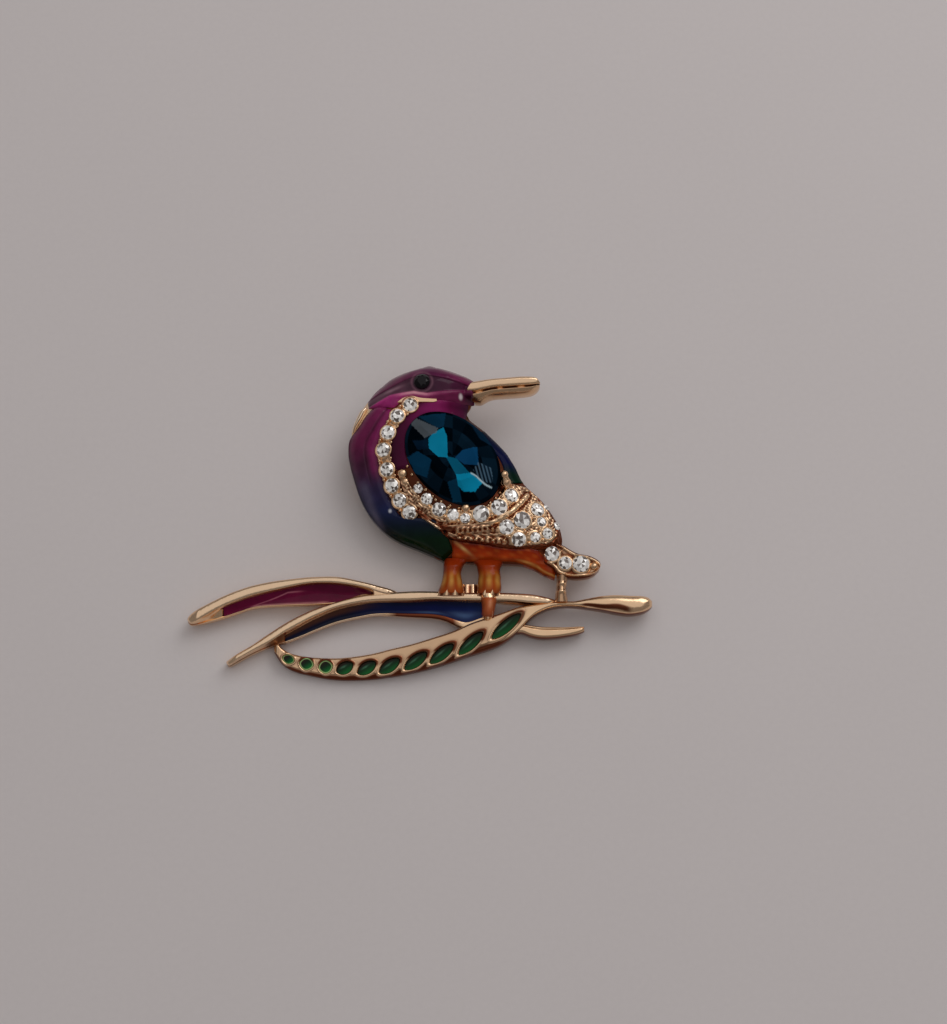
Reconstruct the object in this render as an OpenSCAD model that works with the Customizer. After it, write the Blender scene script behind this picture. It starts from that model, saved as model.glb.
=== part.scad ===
// Bird brooch: a cast bird, enamelled and set with stones, standing on a spray of branches.
// It is drawn flat in its own plane, back at z = 0 and front up, and then laid at rest on
// the pin at its back and on the lowest edge of the spray.

/* [Overall] */
// Length from the tip of the red leaf to the end of the branch
brooch_w = 57.5; // [50:0.5:65]
// Height from the lowest branch to the crown, in the plane of the brooch
brooch_h = 39.8; // [35:0.2:46]

/* [Casting] */
// Thickness of the branches and leaf rims
plate_t = 2; // [1.6:0.1:2.6]
// Height of the bird's dome over the back plane
body_rise = 4.6; // [4:0.1:5.4]
// Height of the upright edge round the bird
edge_t = 1.2; // [0.9:0.1:1.6]
// Metal left between the dome and the hollow back
wall_t = 1.3; // [1:0.1:1.6]
// How far the wing stands over the body
wing_lift = 0.5; // [0.3:0.05:0.8]
// How far the collar band stands over the body
collar_lift = 0.35; // [0.2:0.05:0.6]
// How deep the wing and the collar band reach into the body
root_t = 0.7; // [0.5:0.05:1]
// Height of the beak's top
beak_rise = 3.2; // [2.6:0.1:3.8]
// Height of the tail's top
tail_rise = 2.9; // [2.5:0.1:3.4]
// Height of the legs and toes
leg_rise = 3; // [2.6:0.1:3.6]
// Radius of a raised wire ridge
ridge_r = 0.28; // [0.2:0.02:0.4]
// Radius of a bead in the bead rows
bead_r = 0.26; // [0.2:0.02:0.32]

/* [Enamel] */
// Thickness of the enamel on the bird and in the leaves
enamel_t = 0.4; // [0.3:0.05:0.5]
// Depth of the cells along the lower branch
cell_depth = 0.6; // [0.4:0.05:0.8]
// How far the enamel in a cell lies under the metal
cell_dip = 0.15; // [0.05:0.05:0.3]
// Clearance round each enamel fill and stone
fit_gap = 0.04; // [0.03:0.01:0.08]

/* [Stones] */
// Length of the big oval stone
gem_l = 13.7; // [12:0.1:14.5]
// Width of the big oval stone
gem_w = 9.7; // [8.5:0.1:10.4]
// Height of the big stone's girdle over the back plane
gem_z = 4.5; // [4.2:0.1:5]
// Thickness of the big stone's girdle
gem_girdle = 0.4; // [0.3:0.05:0.6]
// Height of the big stone's crown over its girdle
gem_crown = 1.7; // [1.2:0.1:2.2]
// Depth of the big stone under its girdle
gem_depth = 3; // [2.2:0.1:3.2]
// Thickness of the rim round the big stone's cup
cup_w = 0.35; // [0.3:0.05:0.5]
// Diameter of a collar stone
collar_d = 1.65; // [1.4:0.05:1.8]
// Diameter of the largest wing stone
wing_d = 2; // [1.7:0.05:2.1]
// Diameter of the largest tail stone
tail_d = 1.9; // [1.6:0.05:2]
// Diameter of the eye
eye_d = 2; // [1.6:0.1:2.2]
// Diameter of the stone at the nape
nape_d = 1; // [0.8:0.05:1.1]
// Metal round each small stone
collet_w = 0.22; // [0.16:0.02:0.3]
// Radius of the ball on the claw beside the big stone
claw_r = 0.6; // [0.5:0.05:0.7]

/* [Pin] */
// Distance from the back plane to the lowest point of the pin
pin_h = 3; // [2.6:0.1:3.6]
// Diameter of the pin stem
stem_d = 0.8; // [0.7:0.05:1]
// Width of the bar across the hollow back
bar_w = 3; // [2.4:0.1:4]
// Thickness of that bar
bar_t = 0.8; // [0.6:0.1:1]
// Length of the hinge block and of the catch
catch_l = 2.4; // [2:0.1:3]
// Radius of the round foot of the hinge block and of the catch
foot_r = 1.1; // [1:0.05:1.2]
// How far the bar stays inside the bird's outline, and its blocks inside its ends
bar_in = 0.45; // [0.3:0.05:0.7]

/* [Hidden] */

// All places in the tables are shares in hundredths: x of brooch_w from the red leaf's tip,
// y of brooch_h from the lowest edge. Heights are shares of the size that the table names.
X = 0;
Y = 1;

// Outline of the bird. Columns: y, left x, right x, height as a share of body_rise
BODY = [
    [33.0, 77.2, 79.0, 0.28], [34.6, 75.3, 79.4, 0.30], [36.2, 73.0, 79.8, 0.33],
    [37.6, 55.8, 80.1, 0.40], [40.5, 51.4, 80.4, 0.54], [43.9, 45.8, 80.8, 0.70],
    [46.1, 43.3, 80.6, 0.78], [48.7, 41.2, 80.1, 0.85], [55.7, 37.8, 76.9, 0.95],
    [63.4, 35.8, 71.9, 1.00], [71.6, 34.5, 68.9, 1.00], [78.7, 35.1, 64.3, 0.98],
    [83.2, 36.2, 60.6, 0.93], [85.1, 36.9, 60.1, 0.91], [87.4, 37.8, 61.0, 0.90],
    [93.5, 41.5, 61.9, 0.86], [95.7, 43.2, 61.2, 0.79], [98.0, 46.3, 57.6, 0.64],
    [100, 50.8, 53.0, 0.36]];
DOME_POWER = 2.6;
DOME_COLUMNS = [-1, -0.92, -0.78, -0.55, -0.2, 0.2, 0.55, 0.78, 0.92, 1];
HOLLOW_COLUMNS = [-1, -0.6, 0, 0.6, 1];
HOLLOW_ROWS = [5, 7, 8, 9, 10, 11, 13, 15, 16];

// Enamel on the bird. Columns: x and y of the outer edge, x and y of the inner edge
HEAD = [
    [38.2, 87.9, 38.4, 86.9], [39.9, 91.2, 40.1, 86.7], [41.7, 93.6, 42.3, 86.5],
    [43.8, 96.0, 44.3, 86.2], [46.0, 97.6, 46.0, 88.2], [48.4, 98.9, 48.0, 89.2],
    [50.8, 99.8, 50.2, 88.2], [53.0, 99.8, 52.5, 88.6], [55.6, 98.9, 55.2, 88.6],
    [58.2, 97.6, 57.8, 88.2], [60.2, 96.3, 59.9, 88.0], [61.5, 95.2, 61.3, 88.2]];
BREAST = [
    [40.6, 86.1, 42.9, 84.0], [38.5, 83.9, 42.3, 80.9], [36.9, 80.5, 40.9, 77.2],
    [34.8, 76.5, 40.0, 73.8], [34.5, 72.0, 39.8, 70.8], [35.0, 67.6, 40.4, 65.4],
    [35.8, 63.4, 41.4, 60.2], [36.8, 58.9, 42.9, 55.6], [38.1, 54.7, 45.0, 51.4],
    [40.1, 50.5, 47.2, 48.9], [42.8, 46.6, 49.8, 48.0], [45.8, 43.8, 52.2, 46.3],
    [49.6, 41.5, 54.2, 44.2], [53.0, 39.5, 55.4, 41.4], [55.6, 37.9, 56.2, 38.6]];
THROAT = [
    [45.1, 65.1, 46.9, 65.6], [44.6, 68.2, 46.2, 68.6], [44.3, 71.4, 45.9, 71.9],
    [44.5, 74.8, 45.9, 75.0], [45.3, 78.2, 46.4, 77.9], [46.6, 81.2, 47.6, 80.7],
    [48.4, 83.9, 49.0, 82.8], [50.8, 85.7, 51.2, 84.4], [53.8, 86.5, 53.8, 84.9],
    [56.6, 86.7, 56.2, 84.4], [58.8, 86.5, 58.2, 83.4], [60.3, 85.8, 59.8, 82.2]];
FLANK = [
    [63.6, 79.4, 62.6, 78.6], [65.2, 77.0, 64.3, 75.7], [66.8, 74.7, 66.0, 73.1],
    [68.4, 72.2, 67.4, 70.7], [69.6, 69.6, 68.3, 68.0], [70.6, 67.1, 68.7, 65.3],
    [71.6, 63.9, 69.6, 63.2], [72.3, 62.4, 70.7, 61.9]];
BELLY = [
    [57.0, 42.6, 57.0, 38.4], [58.9, 42.0, 59.1, 38.3], [61.3, 41.5, 61.5, 38.3],
    [64.1, 41.1, 64.3, 38.3], [67.3, 40.3, 67.6, 38.2], [70.6, 39.9, 70.4, 38.1],
    [73.4, 40.2, 73.0, 37.1], [75.4, 39.6, 75.2, 35.8], [76.4, 36.2, 76.4, 34.7],
    [78.0, 34.8, 78.0, 33.3]];

// Wing, from its end by the collar round under the big stone. Columns as for the enamel
WING = [
    [46.9, 63.0, 45.4, 63.2], [48.1, 59.9, 46.2, 59.2], [49.8, 57.0, 47.8, 54.0],
    [52.3, 54.4, 50.2, 50.4], [55.0, 53.0, 53.6, 46.8], [57.9, 52.7, 56.8, 43.6],
    [60.8, 52.7, 60.8, 42.5], [63.6, 53.8, 64.6, 41.7], [65.8, 55.6, 69.0, 40.8],
    [67.4, 58.4, 74.2, 40.8], [68.0, 60.0, 79.6, 42.2], [68.4, 61.0, 80.2, 47.8],
    [68.9, 61.6, 77.0, 55.6], [69.4, 61.4, 72.9, 61.4]];
WING_COLUMNS = 4;

// Tail. Columns: x and y of the upper edge, x and y of the lower edge, share of tail_rise
TAIL = [
    [77.0, 46.0, 75.8, 40.6, 0.6], [80.6, 42.6, 76.8, 37.0, 1], [82.1, 41.1, 78.6, 35.2, 1],
    [84.1, 39.6, 80.0, 33.0, 1], [86.5, 38.7, 83.0, 32.2, 1], [88.1, 37.6, 86.1, 33.2, 0.97],
    [88.9, 36.0, 88.3, 34.9, 0.9]];

// Bars. Columns: x, lower y, upper y, height as a share of the bar's own height
BEAK = [
    [60.2, 88.2, 94.6, 1], [62.1, 88.2, 95.0, 1], [65.6, 89.8, 95.6, 0.98],
    [68.7, 90.3, 96.0, 0.96], [71.7, 90.6, 96.4, 0.94], [74.1, 91.1, 96.4, 0.92],
    [75.4, 92.1, 96.0, 0.88], [76.1, 93.4, 94.6, 0.8]];
BRANCH = [
    [18.8, 9.0, 11.6, 0.6], [19.5, 7.4, 11.9, 0.65], [20.3, 5.8, 10.6, 0.7],
    [21.7, 4.2, 9.2, 0.7], [23.8, 2.9, 8.2, 0.7], [26.4, 2.0, 7.6, 0.7],
    [29.9, 1.0, 7.3, 0.7], [33.8, 0.5, 7.4, 0.7], [39.3, 0.7, 8.5, 0.7],
    [43.8, 1.5, 10.1, 0.75], [48.2, 2.6, 11.6, 0.8], [52.8, 4.2, 13.6, 0.85],
    [57.1, 6.1, 15.6, 0.9], [61.0, 8.0, 18.1, 0.95], [64.5, 9.6, 19.8, 1],
    [67.8, 11.6, 21.4, 1], [71.0, 15.1, 23.0, 1], [73.7, 19.1, 23.8, 1],
    [75.6, 21.1, 24.2, 1], [78.4, 22.7, 24.8, 1], [81.3, 23.2, 25.0, 1],
    [83.4, 23.1, 25.0, 1.05], [86.3, 22.6, 25.8, 1.15], [89.1, 22.0, 26.5, 1.25],
    [92.2, 21.1, 26.8, 1.3], [95.0, 20.6, 26.6, 1.3], [97.6, 21.5, 26.1, 1.25],
    [99.1, 22.8, 25.5, 1.1], [100, 24.0, 24.6, 0.9]];
TWIG = [
    [70.6, 14.8, 18.2, 0.85], [72.1, 15.0, 17.5, 0.85], [73.9, 13.7, 17.0, 0.85],
    [76.1, 13.1, 16.6, 0.85], [78.9, 13.2, 16.5, 0.85], [81.7, 13.8, 16.4, 0.8],
    [84.1, 14.7, 16.5, 0.75], [85.4, 15.4, 16.4, 0.7]];

// Leaves. Columns: x, lower edge, enamel low, enamel high, rim low, rim high, recess share
RED_LEAF = [
    [0, 18.7, 18.9, 19.1, 19.3, 19.8, 0], [0.7, 17.7, 17.9, 18.1, 18.4, 20.9, 0],
    [2.1, 17.8, 18.0, 18.3, 18.8, 22.2, 0], [4.5, 18.5, 19.0, 19.9, 20.9, 24.1, 0],
    [7.7, 19.8, 20.5, 22.8, 23.4, 26.5, 0], [7.9, 19.9, 20.6, 22.9, 23.5, 26.6, 1],
    [11.0, 21.4, 22.0, 24.7, 25.3, 28.4, 1], [14.3, 22.9, 23.5, 26.3, 26.9, 29.9, 1],
    [18.8, 23.5, 24.1, 27.9, 28.4, 31.2, 1], [24.3, 23.8, 24.4, 29.6, 30.1, 32.2, 1],
    [28.2, 24.0, 24.6, 30.2, 30.7, 32.6, 1], [32.7, 24.6, 25.3, 30.0, 30.5, 32.5, 1],
    [38.0, 26.0, 27.6, 28.8, 29.2, 30.9, 1], [38.2, 26.1, 27.7, 28.8, 29.1, 30.9, 0],
    [41.0, 26.4, 26.9, 27.3, 27.7, 29.8, 0], [43.4, 26.2, 26.4, 26.6, 26.9, 28.9, 0],
    [45.2, 25.8, 26.0, 26.3, 26.6, 28.0, 0]];
BLUE_LEAF = [
    [8.6, 5.4, 5.5, 5.6, 5.8, 6.3, 0], [9.3, 4.8, 4.9, 5.0, 5.2, 6.9, 0],
    [11.4, 6.3, 6.5, 6.7, 6.9, 8.8, 0], [14.3, 8.6, 8.8, 9.0, 9.3, 11.3, 0],
    [18.0, 10.8, 11.1, 11.6, 12.2, 15.0, 0], [21.0, 12.0, 12.7, 14.2, 15.2, 17.9, 0],
    [21.2, 12.1, 12.8, 14.3, 15.3, 18.0, 1], [24.3, 13.7, 14.4, 16.8, 17.8, 20.4, 1],
    [27.7, 15.8, 16.5, 19.4, 20.3, 22.6, 1], [32.1, 18.2, 18.9, 22.1, 22.9, 24.7, 1],
    [37.1, 19.9, 20.6, 23.8, 24.5, 26.6, 1], [41.2, 20.7, 21.4, 24.5, 25.1, 27.3, 1],
    [47.8, 20.2, 20.9, 24.5, 25.2, 28.0, 1], [52.7, 19.8, 20.5, 24.9, 25.6, 28.0, 1],
    [55.6, 18.9, 19.7, 24.8, 25.4, 27.8, 1], [59.7, 16.4, 18.7, 24.6, 25.3, 27.6, 1],
    [62.6, 17.8, 20.0, 24.5, 25.2, 27.6, 1], [62.8, 17.9, 20.1, 24.5, 25.2, 27.6, 0],
    [65.0, 24.2, 24.5, 24.8, 25.1, 27.6, 0], [69.1, 24.2, 24.5, 24.7, 25.0, 27.5, 0],
    [73.9, 23.7, 23.9, 24.1, 24.4, 27.1, 0], [77.1, 23.6, 23.8, 24.0, 24.2, 26.2, 0],
    [79.8, 23.5, 23.7, 23.9, 24.1, 25.2, 0]];

// Legs, toe and tail post, from the top down. Columns: y, left x, right x, height share
// The last column is the share of the groove that holds the enamel
LEG_LEFT = [[37.9, 56.4, 59.2, 0.9, 0], [36.6, 55.7, 59.0, 0.9, 0], [36.4, 55.7, 59.0, 0.9, 1],
    [34.2, 55.6, 58.9, 0.94, 1], [32.6, 55.5, 59.0, 1, 1], [31.0, 55.2, 59.2, 0.96, 1],
    [29.0, 54.9, 59.4, 0.94, 1], [28.8, 54.9, 59.4, 0.94, 0], [26.4, 54.3, 59.6, 0.9, 0]];
LEG_RIGHT = [[37.9, 62.6, 67.3, 0.9, 0], [36.2, 62.6, 67.2, 0.9, 0], [36.0, 62.6, 67.2, 0.9, 1],
    [34.2, 62.6, 67.2, 0.94, 1], [32.6, 62.7, 67.4, 1, 1], [31.0, 62.6, 67.4, 0.96, 1],
    [29.0, 62.5, 67.5, 0.94, 1], [28.8, 62.5, 67.5, 0.94, 0], [26.4, 62.2, 67.1, 0.9, 0]];
TOE = [[27.0, 62.8, 66.6, 0.92, 0], [24.8, 63.3, 66.5, 1.04, 0], [24.6, 63.3, 66.5, 1.05, 1],
    [23.2, 63.4, 66.3, 1.08, 1], [20.6, 63.4, 65.9, 1.05, 1], [20.4, 63.4, 65.9, 1.05, 0],
    [18.9, 64.1, 65.3, 0.84, 0]];
POST = [[34.6, 79.6, 82.2, 0.86, 0], [30.4, 79.5, 81.7, 0.8, 0], [27.9, 79.3, 81.6, 0.84, 0],
    [24.6, 79.0, 82.0, 0.8, 0]];
FOOT_WEB = [[30.4, 58.6, 63.0, 0.4, 0], [26.4, 58.6, 63.0, 0.55, 0]];

// Gold crescent at the nape. Columns: x of its outer and inner edge, y, height share of plate_t
NAPE_BAND = [[37.2, 38.7, 86.3, 1], [36.6, 38.2, 85.2, 1.1], [35.9, 37.6, 83.2, 1.05],
    [35.2, 36.3, 80.6, 0.9], [34.9, 35.6, 78.6, 0.7]];

// Raised wire ridges on the wing. Columns: x, y
RIDGE_ARC = [[49.4, 51.9], [53.8, 47.4], [59.6, 47.2], [63.0, 47.6], [66.2, 48.9],
    [69.6, 52.0], [71.9, 55.3], [73.2, 57.9]];
RIDGE_CURL = [[48.9, 50.5], [50.7, 49.2], [52.9, 47.7], [54.6, 45.8], [56.0, 43.0]];

// Green cells. Columns: x, y, length share of cell_len, width share of cell_wide, slant
CELLS = [
    [21.8, 6.7, 0.32, 0.70, -20], [25.6, 5.1, 0.34, 0.90, -10], [29.5, 4.1, 0.34, 0.95, 10],
    [33.7, 3.9, 0.46, 0.90, 28], [38.5, 3.9, 0.54, 0.90, 33], [43.5, 4.6, 0.62, 0.95, 36],
    [49.2, 6.2, 0.72, 0.95, 38], [54.8, 8.5, 0.78, 0.95, 40], [61.0, 11.7, 0.86, 0.92, 43],
    [68.6, 17.0, 1.00, 0.95, 41]];
cell_len = 0.087 * brooch_w;
cell_wide = 0.027 * brooch_w;
CELL_SIDES = 12;

// Stones. Columns: x, y, diameter as a share of the group's largest
COLLAR = [[47.9, 85.8, 1], [45.1, 82.3, 1], [43.1, 77.0, 1], [42.1, 71.6, 1],
    [42.9, 65.4, 1], [44.0, 60.3, 1], [45.7, 55.7, 1], [47.8, 51.9, 1]];
ARC = [[49.7, 59.0, 0.55], [51.6, 55.8, 0.68], [54.2, 52.5, 0.82], [57.2, 50.9, 0.68],
    [59.8, 49.8, 0.58], [63.2, 51.2, 0.95], [67.1, 53.3, 0.95], [69.8, 57.4, 0.85]];
FIELD = [[72.1, 49.6, 1], [68.7, 47.2, 0.88], [75.4, 53.3, 0.84], [71.3, 43.6, 0.84],
    [74.9, 44.4, 0.6], [77.6, 45.8, 0.64], [76.3, 49.4, 0.58], [79.6, 48.6, 0.5],
    [77.3, 54.6, 0.42]];
TAIL_STONES = [[78.5, 39.3, 0.9], [81.3, 36.4, 0.78], [84.7, 36.1, 1]];
EYE = [50.4, 93.6, 1];
NAPE = [36.7, 83.2, 1];
EDGE_LEAN = 58;
STONE_SIDES = 8;
FIRST_EDGE_STONE = 7;

// Cut of the small stones, as shares of their diameter
CROWN_SHARE = 0.2;
PAVILION_SHARE = 0.4;
TABLE_SHARE = 0.56;
GIRDLE_SHARE = 0.07;
POINT_SHARE = 0.1;
SEAT_UP = 0.6;
FLAT = 0.01;

// Big stone
GEM = [57.1, 68.7];
GEM_TABLE = 0.6;
GEM_TURN = -45;
CLAW = [68.2, 63.4];
CLAW_FOOT = [68.6, 61.2];
LEFT_BEAD = [46.3, 63.9];
LOW_BEAD = [59.9, 52.9];
GEM_SIDES = 20;

// Profiles across a bar. Columns: share of the width, share of the height
FLAT_BAR = [[0, 0], [0, 0.7], [0.16, 1], [0.86, 1], [1, 0.7], [1, 0]];
BEAK_BAR = [[0, 0.12], [0, 0.55], [0.2, 0.84], [0.38, 0.8], [0.48, 0.96], [0.85, 1], [1, 0.7],
    [1, 0.12]];
LIP_Z = 0.45;
SLOPE_Z = 0.7;
NO_CUT = 0.05;
CUT_UP = 3;
OPEN_OUT = 1;

gold = "goldenrod";
clear_stone = "lightcyan";

// Place in the plane for a pair of shares
function at(x, y) = [(x / 100 - 0.5) * brooch_w, (y / 100 - 0.5) * brooch_h];
function share_x(p) = (p[X] / brooch_w + 0.5) * 100;
function share_y(p) = (p[Y] / brooch_h + 0.5) * 100;

// A place moved away from the big stone where it isn't yet clear of it by the room it needs
function past_gem(p, room) = let (
    d = p - at(GEM[X], GEM[Y]),
    along = (d[X] * cos(GEM_TURN) + d[Y] * sin(GEM_TURN)) / (gem_l / 2 + room),
    across = (d[Y] * cos(GEM_TURN) - d[X] * sin(GEM_TURN)) / (gem_w / 2 + room))
    p + d * max(1 / norm([along, across]) - 1, 0);
function stone_place(row, d, room) = past_gem(at(row[X], row[Y]), d * row[2] / 2 + room);

// Height of the bird's dome over a place: an arch across the body from edge to edge
body_left = [for (row = BODY) [row[0], row[1]]];
body_right = [for (row = BODY) [row[0], row[2]]];
body_high = [for (row = BODY) [row[0], row[3]]];
function body_z(p) = let (
    y = share_y(p),
    left = lookup(y, body_left),
    right = lookup(y, body_right),
    q = min(1, abs(2 * (share_x(p) - left) / (right - left) - 1)))
    dome_z(lookup(y, body_high), q);
function dome_z(high, q) = edge_t + (max(high * body_rise, edge_t) - edge_t) * (1 - pow(q, DOME_POWER));

// Lines of points across a strip, one for each row of its table
function between(a, b, columns) = [for (c = [0 : columns]) a + (b - a) * c / columns];
function strip(rows, columns) = [for (row = rows) between(at(row[0], row[1]), at(row[2], row[3]), columns)];
function strip_by_gem(rows, columns) = [for (row = rows) between(
    past_gem(at(row[0], row[1]), enamel_t + fit_gap), past_gem(at(row[2], row[3]), fit_gap), columns)];
function raised(grid, high) = [for (line = grid) [for (p = line) [p[X], p[Y], high(p)]]];
function moved(grid, dz) = [for (line = grid) [for (p = line) p + [0, 0, dz]]];
function flat_way(a, b) = let (d = [b[X] - a[X], b[Y] - a[Y], 0]) d / max(norm(d), 0.001);

// The same grid with one more point at each end of its lines and one more line at each end
function padded_line(line, out, in) = let (n = len(line) - 1) [
    line[0] + out * flat_way(line[1], line[0]),
    each line,
    line[n] + in * flat_way(line[n - 1], line[n])];
function padded(grid, out, in, ends) = let (
    wide = [for (line = grid) padded_line(line, out, in)],
    n = len(wide) - 1,
    m = len(wide[0]) - 1) [
    [for (c = [0 : m]) wide[0][c] + ends * flat_way(wide[1][c], wide[0][c])],
    each wide,
    [for (c = [0 : m]) wide[n][c] + ends * flat_way(wide[n - 1][c], wide[n][c])]];

// Solid between an upper and a lower grid of the same size
module sheet(top, bottom) {
    rows = len(top);
    columns = len(top[0]);
    function id(layer, r, c) = (layer * rows + r) * columns + c;
    function quad(a, b, c, d) = [[a, b, c], [a, c, d]];
    turn = cross([for (k = [X, Y]) top[1][0][k] - top[0][0][k]],
        [for (k = [X, Y]) top[0][1][k] - top[0][0][k]]);
    faces = [
        for (r = [0 : rows - 2], c = [0 : columns - 2])
            each quad(id(0, r, c), id(0, r, c + 1), id(0, r + 1, c + 1), id(0, r + 1, c)),
        for (r = [0 : rows - 2], c = [0 : columns - 2])
            each quad(id(1, r, c), id(1, r + 1, c), id(1, r + 1, c + 1), id(1, r, c + 1)),
        for (r = [0 : rows - 2])
            each quad(id(0, r, 0), id(0, r + 1, 0), id(1, r + 1, 0), id(1, r, 0)),
        for (r = [0 : rows - 2], c = [columns - 1])
            each quad(id(0, r + 1, c), id(0, r, c), id(1, r, c), id(1, r + 1, c)),
        for (c = [0 : columns - 2])
            each quad(id(0, 0, c + 1), id(0, 0, c), id(1, 0, c), id(1, 0, c + 1)),
        for (c = [0 : columns - 2], r = [rows - 1])
            each quad(id(0, r, c), id(0, r, c + 1), id(1, r, c + 1), id(1, r, c))];
    polyhedron(
        points = [for (layer = [top, bottom]) for (line = layer) each line],
        faces = turn < 0 ? [for (f = faces) [f[2], f[1], f[0]]] : faces);
}

// Solid through a row of rings with the same number of points. What lies in a groove is drawn
// with its quads split the other way, so that its faces run parallel to the groove's
module loft(rings, in_groove = false) {
    n = len(rings);
    sides = len(rings[0]);
    polyhedron(
        points = [for (ring = rings) each ring],
        faces = [
            [for (k = [0 : sides - 1]) sides - 1 - k],
            [for (k = [0 : sides - 1]) (n - 1) * sides + k],
            for (i = [0 : n - 2], k = [0 : sides - 1]) let (
                a = i * sides + k,
                b = i * sides + (k + 1) % sides)
                each in_groove ? [[a, b, a + sides], [b, b + sides, a + sides]]
                    : [[a, b, b + sides], [a, b + sides, a + sides]]]);
}

// Ring of a bar's profile from one edge place to the other
function ring(a, b, high, profile) = [for (q = profile) [each (a + (b - a) * q[0]), q[1] * high]];

// Bar that runs along x, through rows of x, lower y, upper y and height share
module long_bar(rows, high, profile) {
    loft([for (row = rows) ring(at(row[0], row[1]), at(row[0], row[2]), row[3] * high, profile)]);
}

// Leaf: lip, enamel bed, slope up to the rim, rim
module leaf(rows) {
    loft([for (row = rows) let (cut = (enamel_t + fit_gap) * max(row[6], NO_CUT)) [
        for (q = [
            [1, 0], [1, LIP_Z * plate_t], [2, LIP_Z * plate_t], [2, LIP_Z * plate_t - cut],
            [3, SLOPE_Z * plate_t - cut], [3, SLOPE_Z * plate_t], [4, plate_t],
            [5, plate_t * 0.94], [5, 0]])
            [each at(row[0], row[q[0]]), q[1]]]]);
}

// Enamel in a leaf's bed
module leaf_fill(rows) {
    loft([for (row = rows) if (row[6] == 1) let (
        low = at(row[0], row[2]) + [0, fit_gap],
        high = at(row[0], row[3]) - [0, fit_gap],
        a = LIP_Z * plate_t,
        b = SLOPE_Z * plate_t)
        [[each low, a - enamel_t + fit_gap], [each low, a - fit_gap], [each high, b - fit_gap],
            [each high, b - enamel_t + fit_gap]]], in_groove = true);
}

// Leg: rounded bar that runs down with a groove for the enamel along its top
module leg(rows) {
    loft([for (row = rows) let (
        a = at(row[1], row[0]),
        b = at(row[2], row[0]),
        h = leg_rise * row[3],
        cut = (enamel_t + fit_gap) * max(row[4], NO_CUT))
        [for (q = [
            [0, 0, 0], [0, 0.6, 0], [0.14, 0.8, 0], [0.14, 0.8, cut], [0.5, 1, cut], [0.86, 0.8, cut],
            [0.86, 0.8, 0], [1, 0.6, 0], [1, 0, 0]])
            [each (a + (b - a) * q[0]), q[1] * h - q[2]]]]);
}

// Enamel in a leg's groove
module leg_fill(rows) {
    loft([for (row = rows) if (row[4] == 1) let (
        a = at(row[1], row[0]),
        b = at(row[2], row[0]),
        h = leg_rise * row[3],
        deep = enamel_t - fit_gap)
        [for (q = [
            [0.14, 0.8, deep, 1], [0.14, 0.8, 0, 1], [0.3, 0.93, 0, 0], [0.5, 1, 0, 0],
            [0.7, 0.93, 0, 0], [0.86, 0.8, 0, -1], [0.86, 0.8, deep, -1], [0.5, 1, deep, 0]])
            [each (a + (b - a) * q[0] + [q[3] * fit_gap, 0]), q[1] * h - q[2]]]], in_groove = true);
}

// Wire ridge along places on the wing
module ridge(rows) {
    path = [for (row = rows) let (p = at(row[0], row[1])) [each p, body_z(p) + wing_lift]];
    loft([for (i = [0 : len(path) - 1]) let (
        way = flat_way(path[max(i - 1, 0)], path[min(i + 1, len(path) - 1)]),
        side = [way[Y], -way[X], 0])
        [for (k = [0 : 3]) path[i] + ridge_r * (side * cos(90 * k) + [0, 0, sin(90 * k)])]]);
}

// Direction that the dome faces at a place, as an upright vector with its slopes
function slope(p) = let (e = 0.3)
    [body_z(p - [e, 0]) - body_z(p + [e, 0]), body_z(p - [0, e]) - body_z(p + [0, e])] / (2 * e);

// Puts a stone or its seat on the dome at a place, leaning with the dome unless a lean is given
module on_body(p, lift, lean = -1) {
    s = slope(p);
    translate([each p, body_z(p) + lift]) rotate(a = lean < 0 ? atan(norm(s)) : lean, v = [-s[Y], s[X], 0])
        children();
}

// Round cut stone with a table, its girdle at z = 0
module chaton(d) {
    hull() {
        translate([0, 0, (CROWN_SHARE - FLAT) * d])
            cylinder(d = TABLE_SHARE * d, h = FLAT * d, $fn = STONE_SIDES);
        translate([0, 0, -GIRDLE_SHARE * d / 2]) cylinder(d = d, h = GIRDLE_SHARE * d, $fn = STONE_SIDES);
        translate([0, 0, -PAVILION_SHARE * d]) cylinder(d = POINT_SHARE * d, h = FLAT * d, $fn = 4);
    }
}

// Metal cup round a stone, used for the eye and for the stone at the nape
module collet(d) {
    r = d / 2 + fit_gap + collet_w;
    hull() {
        translate([0, 0, -0.55 * d]) cylinder(r = 0.7 * r, h = FLAT * d, $fn = 10);
        translate([0, 0, -0.15 * d]) cylinder(r = r, h = (0.15 + GIRDLE_SHARE) * d, $fn = 10);
    }
}

// Space for a small stone, open upwards
module seat(d) {
    hull() {
        translate([0, 0, -GIRDLE_SHARE * d / 2 - fit_gap / 2])
            cylinder(d = d + 2 * fit_gap, h = SEAT_UP * d, $fn = STONE_SIDES);
        translate([0, 0, -PAVILION_SHARE * d - fit_gap])
            cylinder(d = POINT_SHARE * d + fit_gap, h = FLAT * d, $fn = 4);
    }
}

module collar_spots(k) {
    on_body(stone_place(COLLAR[k], collar_d, enamel_t + 2 * fit_gap), collar_lift) children();
}
module arc_spots(k) { on_body(stone_place(ARC[k], wing_d, fit_gap), wing_lift) children(); }
module field_spots(k) {
    at_edge = k >= FIRST_EDGE_STONE;
    on_body(stone_place(FIELD[k], wing_d, fit_gap), wing_lift * (at_edge ? 0.2 : 1),
        at_edge ? EDGE_LEAN : -1) children();
}
module tail_spots(k) { translate([each at(TAIL_STONES[k][X], TAIL_STONES[k][Y]), tail_rise]) children(); }
module eye_spot() { on_body(at(EYE[X], EYE[Y]), fit_gap) children(); }
module nape_spot() { on_body(at(NAPE[X], NAPE[Y]), -nape_d / 4, EDGE_LEAN) children(); }

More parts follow.
